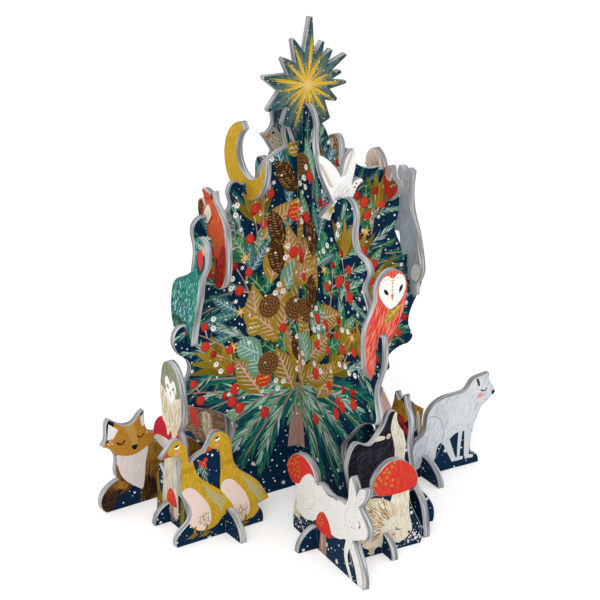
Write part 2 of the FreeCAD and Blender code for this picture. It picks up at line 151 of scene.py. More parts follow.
def linear(hex_colour: str) -> tuple[float, float, float, float]:
    """Turn an sRGB colour into the linear values that a shader takes.

    Args:
        hex_colour: Six hexadecimal digits, red first.

    Returns:
        Linear red, green and blue, and an alpha of 1.
    """
    srgb = np.array([int(hex_colour[i : i + 2], 16) for i in (0, 2, 4)]) / 255
    low, high = srgb / 12.92, ((srgb + 0.055) / 1.055) ** 2.4
    return (*np.where(srgb <= 0.04045, low, high).tolist(), 1.0)


def feed(tree: bpy.types.NodeTree, socket: Socket, given: object) -> None:
    """Fill a socket.

    Args:
        tree: Nodes of a material or of the world.
        socket: A node's socket.
        given: The socket that feeds it, or its value.
    """
    if isinstance(given, Socket):
        tree.links.new(given, socket)
    else:
        socket.default_value = given


def add_node(tree: bpy.types.NodeTree, kind: str, **given: object) -> bpy.types.Node:
    """Add a shader node.

    Args:
        tree: Nodes of a material or of the world.
        kind: The node's kind.
        **given: What its sockets are fed; in a socket's name an underscore stands for a space.

    Returns:
        The node.
    """
    made = tree.nodes.new(f"ShaderNode{kind}")
    for name, value in given.items():
        feed(tree, made.inputs[name.replace("_", " ")], value)
    return made


@dataclass(frozen=True)
class BoardFinish:
    """What print and cut edge share: a matt material with a grain that one feels."""

    grain_mm: float
    grain_depth: float
    gloss: float
    detail: float

    def blank(self, name: str) -> tuple[bpy.types.Material, bpy.types.NodeTree]:
        """Start a material.

        Args:
            name: Its name.

        Returns:
            The material and its nodes.
        """
        material = bpy.data.materials.new(name)
        material.use_nodes = True
        return material, material.node_tree

    def grain(self, tree: bpy.types.NodeTree, place: Socket) -> Socket:
        """Make the grain, a noise over the places that a socket gives, and give its strength."""
        scale = 1 / (self.grain_mm * MM)
        return add_node(tree, "TexNoise", Vector=place, Scale=scale, Detail=self.detail).outputs["Fac"]

    def finish(self, tree: bpy.types.NodeTree, grain: Socket, colour: object, rough: object) -> None:
        """Feed the shader.

        Args:
            tree: The material's nodes.
            grain: The grain, which lifts the surface.
            colour: A colour, or a socket that gives it.
            rough: The roughness, or a socket that gives it.
        """
        deep = self.grain_mm * MM / 4
        bump = add_node(tree, "Bump", Height=grain, Strength=self.grain_depth, Distance=deep)
        sockets = tree.nodes["Principled BSDF"].inputs
        for name, given in (
            ("Base Color", colour),
            ("Roughness", rough),
            ("Specular IOR Level", self.gloss),
            ("Normal", bump.outputs["Normal"]),
        ):
            feed(tree, sockets[name], given)


@dataclass(frozen=True)
class PrintFinish(BoardFinish):
    """Matt print on board: an even ink, with a fine tooth and a faint change of gloss."""

    grain_mm: float = 0.5
    grain_depth: float = 0.12
    gloss: float = 0.08
    detail: float = 2.0
    rough_low: float = 0.55
    rough_high: float = 0.75

    def material(self, ink: Ink) -> bpy.types.Material:
        """Make the material of one ink.

        Args:
            ink: The ink.

        Returns:
            A material with a fine bump and a roughness that varies softly.
        """
        material, tree = self.blank(f"print_{ink.name.lower()}")
        grain = self.grain(tree, add_node(tree, "TexCoord").outputs["Object"])
        rough = add_node(tree, "MapRange", Value=grain, To_Min=self.rough_low, To_Max=self.rough_high)
        self.finish(tree, grain, linear(ink.value), rough.outputs["Result"])
        return material


@dataclass(frozen=True)
class CutFinish(BoardFinish):
    """The die-cut edge of grey board: matt, with darker and paler streaks where the layers show."""

    grain_mm: float = 1.3
    grain_depth: float = 0.25
    gloss: float = 0.1
    detail: float = 3.0
    stretch: float = 0.05
    stops: tuple[float, float, float] = (0.38, 0.5, 0.63)
    roughness: float = 0.8

    def material(self, front: np.ndarray) -> bpy.types.Material:
        """Make the material of the bare edge.

        Args:
            front: The way that the board's printed front looks.

        Returns:
            A material whose streaks follow the board's layers, in its colour and in its bump.
        """
        layers = np.where(np.abs(front) > 0.5, 1.0, self.stretch)
        material, tree = self.blank(f"board_edge_{'xyz'[int(layers.argmax())]}")
        place = add_node(tree, "TexCoord").outputs["Object"]
        pull = add_node(tree, "Mapping", Vector=place, Scale=layers.tolist())
        grain = self.grain(tree, pull.outputs["Vector"])
        shade = add_node(tree, "ValToRGB", Fac=grain)
        shade.color_ramp.elements.new(0.5)
        greys = (Ink.BARE_DARK, Ink.BARE, Ink.BARE_PALE)
        for stop, where, grey in zip(shade.color_ramp.elements, self.stops, greys):
            stop.position, stop.color = where, linear(grey.value)
        self.finish(tree, grain, shade.outputs["Color"], self.roughness)
        return material


@dataclass
class InkRack:
    """One material for each ink, made when it is first wanted."""

    finish: PrintFinish = field(default_factory=PrintFinish)
    cut: CutFinish = field(default_factory=CutFinish)
    made: dict[tuple, bpy.types.Material] = field(default_factory=dict)

    def material(self, ink: Ink, front: np.ndarray) -> bpy.types.Material:
        """Give a material.

        Args:
            ink: The ink, or the bare board's grey for a cut edge.
            front: The way that the board's printed front looks, which turns the streaks of its edge.

        Returns:
            The material.
        """
        bare = ink is Ink.BARE
        key = (ink, *np.abs(front).round().tolist()) if bare else (ink,)
        if key not in self.made:
            self.made[key] = self.cut.material(front) if bare else self.finish.material(ink)
        return self.made[key]


def ring_order(after: np.ndarray, start: int) -> np.ndarray:
    """Put the members of one ring in order by list ranking.

    The ring is opened at the start, and each member's number of steps to the end is doubled up.

    Args:
        after: For each member, the member that follows it.
        start: The member to begin with.

    Returns:
        The members in order.
    """
    hop = after.copy()
    last = int(np.nonzero(after == start)[0][0])
    hop[last] = last
    steps = np.where(np.arange(len(after)) == last, 0, 1)
    for _ in range(int(math.ceil(math.log2(len(after)))) + 1):
        steps = steps + steps[hop]
        hop = hop[hop]
    return np.argsort(-steps, kind="stable")


def edges_of(triangles: np.ndarray) -> np.ndarray:
    """List the three directed edges of each triangle, as pairs of corner numbers."""
    return np.concatenate([triangles[:, [0, 1]], triangles[:, [1, 2]], triangles[:, [2, 0]]])


def open_edges(triangles: np.ndarray) -> np.ndarray:
    """Find the directed edges of triangles that no other triangle runs back along.

    Args:
        triangles: Corner numbers, three to a row.

    Returns:
        Pairs of corner numbers, two to a row.
    """
    edges = edges_of(triangles)
    base = int(triangles.max()) + 1
    ahead, back = edges[:, 0] * base + edges[:, 1], edges[:, 1] * base + edges[:, 0]
    return edges[~np.isin(ahead, back)]


@dataclass
class Board:
    """One die-cut board: where it stands, and its outline in its own plane in millimetres.

    Across runs to the right as seen from the printed front, and up is +Z. A face is upright if its
    normal rises less than upright. The front's triangles look its way to a cosine of same_way, and lie
    within skin of it.
    """

    node: str
    origin: np.ndarray
    across: np.ndarray
    front: np.ndarray
    thickness: float
    outline: np.ndarray
    step: float = 1.2
    corner_deg: float = 12.0
    upright: float = 0.5
    same_way: float = 0.99
    skin: float = 0.05
    sharpest: float = -0.6
    shortest: float = 0.02
    give: float = 0.4

    @classmethod
    def from_node(cls, node: str) -> "Board":
        """Read a board from its solid: the largest upright face is its front or its back.

        Args:
            node: Name of the solid.

        Returns:
            The board, with its outline thinned to what its curves need.
        """
        mesh = frame["nodes"][node].data
        corners = np.empty(len(mesh.vertices) * 3, np.float32)
        mesh.vertices.foreach_get("co", corners)
        mesh.calc_loop_triangles()
        triangles = np.empty(len(mesh.loop_triangles) * 3, np.int32)
        mesh.loop_triangles.foreach_get("vertices", triangles)
        corners = np.round(corners.reshape(-1, 3) / MM, 3)
        places, member = np.unique(corners, axis=0, return_inverse=True)
        triangles = member.reshape(-1)[triangles].reshape(-1, 3)
        sides = places[triangles]
        normals = np.cross(sides[:, 1] - sides[:, 0], sides[:, 2] - sides[:, 0])
        area = np.linalg.norm(normals, axis=1)
        normals = normals / np.maximum(area, TINY)[:, None]
        front = normals[int(np.argmax(area * (np.abs(normals[:, 2]) < cls.upright)))]
        front = front if front[0] + front[1] < 0 else -front
        across = np.cross(UP, front)
        depth = places @ front
        flush = depth[triangles].min(1) > depth.max() - cls.skin
        face = triangles[(normals @ front > cls.same_way) & flush]
        origin = front * depth.max()
        rim = open_edges(face)
        used, local = np.unique(rim, return_inverse=True)
        local = local.reshape(-1, 2)
        after = np.empty(len(used), np.int64)
        after[local[:, 0]] = local[:, 1]
        ring = places[used[ring_order(after, 0)]]
        outline = np.stack([ring @ across, ring[:, 2]], 1)
        board = cls(node, origin, across, front, float(np.ptp(depth)), outline)
        board.thin()
        return board

    def thin(self) -> None:
        """Keep the outline's corners, and of each smooth stretch one point to a step."""
        ahead = np.roll(self.outline, -1, 0) - self.outline
        behind = self.outline - np.roll(self.outline, 1, 0)
        turn = np.arctan2(
            behind[:, 0] * ahead[:, 1] - behind[:, 1] * ahead[:, 0], (behind * ahead).sum(1)
        )
        run = np.floor(np.cumsum(np.linalg.norm(ahead, axis=1)) / self.step)
        keep = (np.abs(turn) > math.radians(self.corner_deg)) | (run != np.roll(run, 1))
        self.outline = self.outline[keep]

    def place(self, points: np.ndarray, depth: float) -> np.ndarray:
        """Carry points of the plane, from mm to metres, to this far behind the board's printed front."""
        spot = self.origin + points[:, :1] * self.across + (-depth) * self.front
        return (spot + points[:, 1:] * UP) * MM

    def inset(self, distance: float) -> np.ndarray:
        """Draw the outline in by a distance, with mitred corners.

        A corner moves along the sum of its two edges' inward directions, divided by one plus their
        cosine, which counts as no less than sharpest. An edge that would end up under shortest, or turn
        back on itself, has its two ends drawn in less, by give in each round.

        Args:
            distance: How far each edge moves towards the inside.

        Returns:
            The points of the smaller outline, one for each point of the outline.
        """
        ahead = np.roll(self.outline, -1, 0) - self.outline
        ahead = ahead / np.maximum(np.linalg.norm(ahead, axis=1), TINY)[:, None]
        inward = np.stack([-ahead[:, 1], ahead[:, 0]], 1)
        before = np.roll(inward, 1, 0)
        cosine = np.maximum((inward * before).sum(1), self.sharpest)[:, None]
        move = (inward + before) / (1 + cosine) * distance
        share = np.ones(len(move))
        for _ in range(6):
            small = self.outline + move * share[:, None]
            edge = np.roll(small, -1, 0) - small
            folded = (edge * ahead).sum(1) < self.shortest
            share[folded | np.roll(folded, 1)] *= self.give
        return self.outline + move * share[:, None]


DARK_GREENS = (Ink.DEEP_TEAL, Ink.DEEP_TEAL, Ink.TEAL, Ink.TEAL, Ink.FIR)
GREENS = (Ink.DEEP_TEAL, Ink.TEAL, Ink.FIR, Ink.FIR, Ink.MINT)
FROSTED = (Ink.TEAL, Ink.TEAL, Ink.MINT, Ink.MINT, Ink.ICE)


def two_sided(way: np.ndarray, side: np.ndarray) -> np.ndarray:
    """Outline that is as far to each side at each share of the way, down one side and up the other."""
    lower, upper = np.stack([way, -side], 1), np.stack([way, side], 1)
    return np.concatenate([lower, upper[-2:0:-1]])


def lens(corners: int, slimness: float = 1.0, lean: float = 1.0) -> np.ndarray:
    """Outline of a leaf: half its width is half the sine of the way along, each to its own power."""
    way = np.linspace(0, 1, corners + 2)
    return two_sided(way, 0.5 * np.abs(np.sin(np.pi * way**lean)) ** slimness)


def round_outline(corners: int) -> np.ndarray:
    """Outline of a round mark about its own middle, one unit across."""
    turn = np.linspace(0, 2 * np.pi, corners, endpoint=False)
    return 0.5 * np.stack([np.cos(turn), np.sin(turn)], 1)


def spiky_outline(points: int, waist: float) -> np.ndarray:
    """Outline of a star about its own middle, one unit across.

    Args:
        points: How many points it has.
        waist: Reach of its notches as a share of its points' reach.

    Returns:
        Its corners.
    """
    turn = np.linspace(0, 2 * np.pi, 2 * points, endpoint=False)
    reach = np.where(np.arange(2 * points) % 2 == 0, 0.5, 0.5 * waist)
    return reach[:, None] * np.stack([np.cos(turn), np.sin(turn)], 1)


def holly_outline(spikes: int = 4) -> np.ndarray:
    """Outline of a holly leaf: a leaf whose sides swing out to a spike and in to a bay.

    Args:
        spikes: How many spikes each side has.

    Returns:
        Its corners.
    """
    way = np.linspace(0, 1, 2 * spikes + 3)
    swing = np.where(np.arange(len(way)) % 2 == 1, 0.62, 0.3)
    return two_sided(way, swing * np.sin(np.pi * way) ** 0.6)


class Stencil(Enum):
    """Outlines of the small marks, named by what they are used for."""

    NEEDLE = "needle"
    HAIR = "hair"
    LEAF = "leaf"
    DROP = "drop"
    DISC = "disc"
    SPECK = "speck"
    STAR = "star"
    HOLLY = "holly"
    BEECH = "beech"

    @property
    def outline(self) -> np.ndarray:
        """Corners as the way along, and to the side as a share of the width."""
        return OUTLINES[self]


OUTLINES: dict[Stencil, np.ndarray] = {
    Stencil.NEEDLE: np.array([(0, -0.3), (0.5, -0.5), (1, 0), (0.5, 0.5), (0, 0.3)]),
    Stencil.HAIR: np.array([(0, 0), (0.45, -0.5), (1, 0), (0.45, 0.5)]),
    Stencil.LEAF: lens(7),
    Stencil.DROP: lens(6, 0.6),
    Stencil.DISC: round_outline(16),
    Stencil.SPECK: round_outline(6),
    Stencil.STAR: spiky_outline(6, 0.36),
    Stencil.HOLLY: holly_outline(),
    Stencil.BEECH: lens(11, 1.3, 0.82),
}


def flow(points: Points, closed: bool = True, steps: int = 6) -> np.ndarray:
    """Smooth curve through points.

    Between two points the curve is the cubic whose slope at each point is half the way from the
    point before it to the point after it.

    Args:
        points: The points to pass through.
        closed: Whether the curve comes back to its start.
        steps: How many steps it takes from one point to the next.

    Returns:
        Points of the curve in order.
    """
    knots = np.asarray(points, float)
    if closed:
        padded = np.concatenate([knots[-1:], knots, knots[:2]])
    else:
        padded = np.concatenate([2 * knots[:1] - knots[1:2], knots, 2 * knots[-1:] - knots[-2:-1]])
    before, here, after, beyond = padded[:-3], padded[1:-2], padded[2:-1], padded[3:]
    way = (np.arange(steps) / steps)[None, :, None]
    before, here, after, beyond = (p[:, None, :] for p in (before, here, after, beyond))
    curve = 2 * here + (after - before) * way
    curve = curve + (2 * before - 5 * here + 4 * after - beyond) * way**2
    curve = curve + (3 * here - before - 3 * after + beyond) * way**3
    curve = curve.reshape(-1, 2) / 2
    return curve if closed else np.concatenate([curve, knots[-1:]])


def within(spots: np.ndarray, ring: np.ndarray) -> np.ndarray:
    """Tell which spots lie inside a ring: a level line from each crosses it an odd number of times.

    Args:
        spots: The spots to test.
        ring: Corners of the ring.

    Returns:
        True for each spot inside.
    """
    after = np.roll(ring, -1, 0)
    rise = after[:, 1] - ring[:, 1]
    rise = np.where(np.abs(rise) < TINY, TINY, rise)
    x, up = spots[:, :1], spots[:, 1:2]
    straddles = (ring[:, 1] > up) != (after[:, 1] > up)
    cross = ring[:, 0] + (up - ring[:, 1]) / rise * (after[:, 0] - ring[:, 0])
    return (straddles & (x < cross)).sum(1) % 2 == 1


def headed(turn: Amount) -> np.ndarray:
    """Unit steps in the directions of these angles, in degrees from level right."""
    angle = np.radians(np.asarray(turn, float))
    return np.stack([np.cos(angle), np.sin(angle)], -1)


def bearings(steps: np.ndarray) -> np.ndarray:
    """Directions of these steps, in degrees from level right."""
    return np.degrees(np.arctan2(steps[:, 1], steps[:, 0]))


@dataclass
class Pen:
    """Draws flat marks on one board in its picture's own units, each over those before it."""

    scale: np.ndarray
    shift: np.ndarray
    chance: np.random.Generator
    edge: np.ndarray
    shapes: list[np.ndarray] = field(default_factory=list)
    inks: list[Ink] = field(default_factory=list)

    @classmethod
    def over(cls, board: Board, span: Span | None, seed: int) -> "Pen":
        """Take up a pen for a board.

        Args:
            board: The board.
            span: Left, right, foot and top of the picture in its own units, or None for millimetres.
            seed: Start of its random draws.

        Returns:
            The pen, with the picture's units fitted to the board's outline.
        """
        low, high = board.outline.min(0), board.outline.max(0)
        if span is None:
            scale, shift = np.ones(2), np.zeros(2)
        else:
            drawn_low, drawn_high = np.array([span[0], span[2]]), np.array([span[1], span[3]])
            scale = (high - low) / (drawn_high - drawn_low)
            shift = low - drawn_low * scale
        edge = (board.outline - shift) / scale
        return cls(scale, shift, np.random.default_rng(seed), edge)

    def lay(self, ink: Inks, marks: np.ndarray) -> None:
        """Lay marks on top.

        Args:
            ink: Their ink, or several to draw one from for each mark.
            marks: Corners, as (how many, corners, 2).
        """
        marks = np.asarray(marks, float)
        near = marks.mean(1)
        reach = np.abs(marks - near[:, None]).max((1, 2))
        low, high = self.edge.min(0), self.edge.max(0)
        kept = ((near > low - reach[:, None]) & (near < high + reach[:, None])).all(1)
        marks = marks[kept]
        self.shapes.extend(marks * self.scale + self.shift)
        choice = [ink] if isinstance(ink, Ink) else list(ink)
        self.inks.extend(choice[i] for i in self.chance.integers(0, len(choice), len(marks)))

    def patch(self, ink: Ink, points: Points, steps: int = 6) -> np.ndarray:
        """Fill a smooth shape, and drop the marks that it hides altogether.

        Args:
            ink: Its ink.
            points: Points that its edge passes through.
            steps: Steps from one point to the next; 1 keeps it straight.

        Returns:
            Its edge.
        """
        ring = flow(points, True, steps) if steps > 1 else np.asarray(points, float)
        self.hide(ring)
        self.lay(ink, ring[None])
        return ring

    def hide(self, ring: np.ndarray) -> None:
        """Drop the marks that lie wholly inside a ring.

        Args:
            ring: Corners of the ring, in the picture's units.
        """
        if not self.shapes:
            return
        counts = np.array([len(shape) for shape in self.shapes])
        corners = (np.concatenate(self.shapes) - self.shift) / self.scale
        inside = within(corners, ring).astype(int)
        sums = np.add.reduceat(inside, np.concatenate([[0], np.cumsum(counts)[:-1]]))
        kept = np.nonzero(sums < counts)[0]
        self.shapes = [self.shapes[i] for i in kept]
        self.inks = [self.inks[i] for i in kept]

    def stamp(
        self,
        ink: Inks,
        stencil: Stencil,
        roots: Points,
        turn: Amount,
        length: Amount,
        width: Amount,
        bend: Amount = 0.0,
    ) -> np.ndarray:
        """Lay one mark at each root: the stencil stretched, bent by a parabola, turned and moved.

        Args:
            ink: The marks' ink, or several to draw from.
            stencil: Their outline.
            roots: Where they start; round stencils and stars have their middle there.
            turn: Their directions in degrees.
            length: Their lengths.
            width: Their widths.
            bend: How far a tip leaves the straight line, as a share of the length.

        Returns:
            The marks' corners.
        """
        roots = np.atleast_2d(np.asarray(roots, float))
        turn, length, width, bend = (
            np.broadcast_to(np.asarray(value, float), len(roots))[:, None]
            for value in (turn, length, width, bend)
        )
        along, side = stencil.outline[:, 0], stencil.outline[:, 1]
        ahead = along * length
        aside = side * width + bend * along**2 * length
        forth, left = headed(turn), headed(turn + 90.0)
        marks = roots[:, None] + ahead[..., None] * forth + aside[..., None] * left
        self.lay(ink, marks)
        return marks

    def line(self, ink: Ink, points: Points, start: float, end: float) -> None:
        """Draw a smooth line whose width runs evenly from its start to its end.

        Args:
            ink: Its ink.
            points: Points that it passes through.
            start: Its width at the start.
            end: Its width at the end.
        """
        middle = flow(points, False, 5)
        along = np.gradient(middle, axis=0)
        along = along / np.maximum(np.linalg.norm(along, axis=1), TINY)[:, None]
        half = np.linspace(start, end, len(middle))[:, None] / 2
        left = np.stack([-along[:, 1], along[:, 0]], 1) * half
        self.lay(ink, np.concatenate([middle - left, (middle + left)[::-1]])[None])

    def dot(self, ink: Ink, centres: Points, across: float, high: float, turn: float = 0.0) -> None:
        """Fill an oval about each centre, this far across and this high."""
        self.stamp(ink, Stencil.DISC, centres, turn, across, high)

    def disc(self, ink: Ink, spot: np.ndarray, size: float) -> None:
        """Fill a round, this far across, and drop the marks that it hides altogether."""
        self.patch(ink, spot + Stencil.DISC.outline * size, 1)

    def spread(self, ring: np.ndarray, gap: float) -> np.ndarray:
        """Scatter spots over a ring's inside, one to each cell of a shaken honeycomb.

        Args:
            ring: The ring.
            gap: Distance from one spot to the next.

        Returns:
            The spots.
        """
        low, high = ring.min(0), ring.max(0)
        columns = np.arange(low[0], high[0] + gap, gap)
        rows = np.arange(low[1], high[1] + gap, gap * 0.87)
        cells = np.stack(np.meshgrid(columns, rows), -1)
        cells[1::2, :, 0] += gap / 2
        spots = cells.reshape(-1, 2)
        spots = spots + self.chance.uniform(-0.35, 0.35, spots.shape) * gap
        return spots[within(spots, ring)]

    def coat(
        self,
        inks: Inks,
        points: Points,
        lean: float | tuple[float, float],
        length: float,
        width: float,
        gap: float,
        steps: int = 6,
    ) -> None:
        """Cover an area with hairs or feathers that end inside it.

        Args:
            inks: Inks to draw from.
            points: Points that the area's edge passes through.
            lean: The hairs' direction in degrees, or a spot that they point away from.
            length: Their length.
            width: Their width.
            gap: Distance from one to the next.
            steps: Steps of the edge from one point to the next.
        """
        ring = flow(points, True, steps)
        roots = self.spread(ring, gap)
        if isinstance(lean, tuple):
            turn = bearings(roots - np.array(lean))
        else:
            turn = np.full(len(roots), float(lean))
        turn = turn + self.chance.normal(0, 9, len(roots))
        reach = length * self.chance.uniform(0.7, 1.2, len(roots))
        held = within(roots + headed(turn) * reach[:, None], ring)
        roots, turn, reach = roots[held], turn[held], reach[held]
        bend = self.chance.uniform(-0.12, 0.12, len(roots))
        self.stamp(inks, Stencil.HAIR, roots, turn, reach, width, bend)

    def fur(self, ground: Ink, hairs: Inks, points: Points, *coat: float | tuple[float, float]) -> None:
        """Fill a smooth shape and coat it with hairs, whose lean, length, width, gap and steps follow."""
        self.patch(ground, points, *coat[4:])
        self.coat(hairs, points, *coat)

    def snow(self, ring: np.ndarray, gap: float = 9.0, size: float = 1.5) -> None:
        """Scatter snow over a ring's inside: specks of many sizes, and a flake here and there.

        Args:
            ring: The ring.
            gap: Distance from one speck to the next.
            size: Diameter of a large speck.
        """
        spots = self.spread(ring, gap)
        large = self.chance.uniform(0.35, 1.15, len(spots)) ** 1.6 * size
        self.stamp(Ink.SNOW, Stencil.SPECK, spots, self.chance.uniform(0, 60, len(spots)), large, large)
        for spot in spots[::11]:
            self.flake(spot, size * 2.8)

    def flake(self, spot: np.ndarray, size: float) -> None:
        """Draw a snowflake of six arms, this far across."""
        turn = self.chance.uniform(0, 60) + np.arange(6) * 60
        self.stamp(Ink.SNOW, Stencil.HAIR, np.tile(spot, (6, 1)), turn, size / 2, size / 5)

    def spine(self, root: Spot, turn: float, length: float, bend: float, way: np.ndarray) -> Pair:
        """Follow a stalk that bends as a parabola.

        Args:
            root: Its start.
            turn: Its direction there.
            length: Its length.
            bend: How far its tip leaves the straight line, as a share of the length.
            way: Shares of the way along it.

        Returns:
            Points of the stalk, and its direction at each.
        """
        forth, left = headed(turn), headed(turn + 90.0)
        points = np.asarray(root, float) + (way * length)[:, None] * forth
        points = points + (bend * way**2 * length)[:, None] * left
        return points, turn + np.degrees(np.arctan(2 * bend * way))

    def fir(
        self,
        root: Spot,
        turn: float,
        length: float,
        needle: float = 10.0,
        bend: float = 0.0,
        inks: Sequence[Ink] = GREENS,
        gap: float = 1.9,
        stalk: Ink = Ink.TWIG,
    ) -> None:
        """Draw a fir twig: a stalk with a needle to each side at every step, slanting forward.

        Args:
            root: Its start.
            turn: Its direction.
            length: Its length.
            needle: Length of its longest needles.
            bend: How far its tip leaves the straight line, as a share of the length.
            inks: The needles' inks.
            gap: Distance from one pair of needles to the next.
            stalk: The stalk's ink.
        """
        way = np.linspace(0.05, 1.0, max(int(length / gap), 4))
        points, headings = self.spine(root, turn, length, bend, way)
        reach = needle * (0.5 + 0.5 * np.sin(np.pi * (0.15 + 0.75 * way)))
        for side in (-1, 1):
            slant = headings + side * (36 - 22 * way) + self.chance.normal(0, 5, len(way))
            size = reach * self.chance.uniform(0.8, 1.15, len(way))
            self.stamp(inks, Stencil.NEEDLE, points, slant, size, needle * 0.1 + 0.1, -0.1 * side)
        self.line(stalk, points[:: max(len(points) // 6, 1)], needle * 0.13, needle * 0.05)

    def leaf(
        self,
        ink: Ink,
        vein: Ink,
        root: Spot,
        turn: float,
        length: float,
        width: float,
        bend: float = 0.0,
        pairs: int = 5,
        stencil: Stencil = Stencil.LEAF,
    ) -> None:
        """Draw a leaf with a rib and slanting veins.

        Args:
            ink: The leaf's ink.
            vein: The ink of its rib and veins.
            root: Its start.
            turn: Its direction.
            length: Its length.
            width: Its width.
            bend: How far its tip leaves the straight line, as a share of the length.
            pairs: How many pairs of veins it has.
            stencil: Its outline.
        """
        marks = self.stamp(ink, stencil, [root], turn, length, width, bend)
        shape, shown = self.shapes.pop(), self.inks.pop()
        self.hide(marks[0])
        self.shapes.append(shape)
        self.inks.append(shown)
        way, slant = np.linspace(0.14, 0.8, pairs), 42
        points, headings = self.spine(root, turn, length, bend, way)
        along, side_on = stencil.outline[: len(stencil.outline) // 2 + 1].T
        half = np.interp(way + 0.09, along, -side_on)
        reach = 0.84 * width * half / math.sin(math.radians(slant))
        for side in (-1, 1):
            turns = headings + side * slant
            self.stamp(vein, Stencil.NEEDLE, points, turns, reach, width * 0.045 + 0.25)
        self.stamp(vein, Stencil.NEEDLE, [root], turn, length * 0.97, width * 0.06 + 0.4, bend)

    def berry(self, centre: Spot, size: float, ink: Ink = Ink.RED) -> None:
        """Draw a berry: a round with a darker edge and a lighter streak.

        Args:
            centre: Its middle.
            size: Its width.
            ink: Its ink.
        """
        spot = np.asarray(centre, float)
        shade = Ink.DARK_RED if ink is Ink.RED else Ink.WINE
        self.patch(shade, spot + Stencil.DISC.outline * size * (0.96, 1.06), 1)
        self.dot(ink, [spot + (-0.03 * size, 0.03 * size)], size * 0.84, size * 0.94)
        low = [spot - (0.26 * size, 0.14 * size)]
        self.stamp(Ink.SCARLET, Stencil.HAIR, low, 68, size * 0.6, size * 0.2)

    def berry_twig(self, root: Spot, turn: float, length: float, size: float, many: int = 4) -> None:
        """Draw a bare twig that forks to a berry on each side in turn.

        Args:
            root: Its start.
            turn: Its direction.
            length: Its length.
            size: The berries' diameter.
            many: How many berries it bears.
        """
        way = np.linspace(0.35, 1.0, many)
        points, headings = self.spine(root, turn, length, 0.12, way)
        self.line(Ink.TWIG, np.concatenate([[root], points]), 1.7, 0.9)
        side = np.where(np.arange(many) % 2 == 0, 1, -1) * np.where(way < 1, 1, 0)
        branch = headings + side * 48
        tips = points + headed(branch) * (size * 1.15)
        self.stamp(Ink.BLUSH, Stencil.NEEDLE, points, branch, size * 1.2, 1.1)
        for number, tip in enumerate(tips):
            rank = number % 3
            self.berry(tip, size * (1.0 - 0.12 * rank), (Ink.RED, Ink.RED, Ink.DARK_RED)[rank])

    def cone(self, root: Spot, turn: float, length: float, width: float) -> None:
        """Draw a fir cone: a drop in rows of pale-lipped scales that lean out from its middle.

        Args:
            root: Its stalk end.
            turn: Its direction.
            length: Its length.
            width: Its width.
        """
        self.patch(Ink.UMBER, self.stamp(Ink.UMBER, Stencil.DROP, [root], turn, length, width)[0], 1)
        way = np.linspace(0.1, 0.93, max(int(length / 2.6), 5))
        points, _ = self.spine(root, turn, length, 0.0, way)
        girth = 0.5 * width * np.sin(np.pi * way) ** 0.6
        left = headed(turn + 90.0)
        for place, lean in ((-0.62, turn - 52), (0.0, turn + 52), (0.62, turn + 52)):
            row = points + (girth * place)[:, None] * left + headed(turn) * (length * 0.03 * abs(place))
            start = row - headed(lean) * (width * 0.13)
            scale_inks = (Ink.BROWN, Ink.TAN)
            self.stamp(scale_inks, Stencil.NEEDLE, start, lean, girth * 0.62, width * 0.085, 0.18)

    def rosette(self, centre: Spot, size: float) -> None:
        """Draw a cone from below: rings of scales round its middle.

        Args:
            centre: Its middle.
            size: Its width.
        """
        spot = np.asarray(centre, float)
        self.disc(Ink.BROWN, spot, size)
        for share, many in ((0.92, 13), (0.7, 10), (0.46, 7), (0.22, 4)):
            turn = np.linspace(0, 360, many, endpoint=False) + share * 100
            roots = spot + headed(turn) * (size * share / 2)
            arc = 360 / many
            chord = size * share * math.sin(math.radians(arc / 2)) * 1.05
            self.stamp(Ink.TAN, Stencil.NEEDLE, roots, turn + 90 + arc / 2, chord, size * 0.05, -0.2)

    def mistletoe(self, spots: np.ndarray, size: float) -> None:
        """Draw white berries, each with a small brown eye.

        Args:
            spots: Their middles.
            size: Their width.
        """
        for spot in np.atleast_2d(spots):
            self.disc(Ink.SNOW, spot, size)
            self.dot(Ink.TAN, [spot + (0.05 * size, 0.1 * size)], size * 0.28, size * 0.28)

    def bauble(self, centre: Spot, size: float, ink: Ink, band: Ink) -> None:
        """Draw a glass ball with a zigzag band and a cap.

        Args:
            centre: Its middle.
            size: Its width.
            ink: The ball's ink.
            band: The band's ink.
        """
        spot = np.asarray(centre, float)
        self.dot(Ink.GOLD, [spot + (0, size * 0.54)], size * 0.26, size * 0.2)
        self.disc(ink, spot, size)
        across = np.linspace(-0.36, 0.36, 7)
        zigzag = np.stack([across, np.where(np.arange(7) % 2 == 0, -0.08, 0.1)], 1) * size + spot
        steps = np.diff(zigzag, axis=0)
        reach = np.linalg.norm(steps, axis=1) * 1.1
        self.stamp(band, Stencil.NEEDLE, zigzag[:-1], bearings(steps), reach, size * 0.07)
        for height in (-0.24, 0.26):
            start = [spot + (-0.34 * size, height * size)]
            self.stamp(band, Stencil.NEEDLE, start, 0, size * 0.68, size * 0.05)

    def shut_eye(self, centre: Spot, width: float, turn: float = 0.0, ink: Ink = Ink.BLACK) -> None:
        """Draw a closed eye: a lid that curves down between its corners.

        Args:
            centre: Its middle.
            width: Its width.
            turn: How far it is turned, in degrees.
            ink: Its ink.
        """
        spot = np.asarray(centre, float)
        forth, up = headed(turn), headed(turn + 90.0)
        arc = [spot + forth * a * width + up * b * width for a, b in ((-0.5, 0.1), (0, -0.22), (0.5, 0.1))]
        self.line(ink, arc, width * 0.2, width * 0.15)

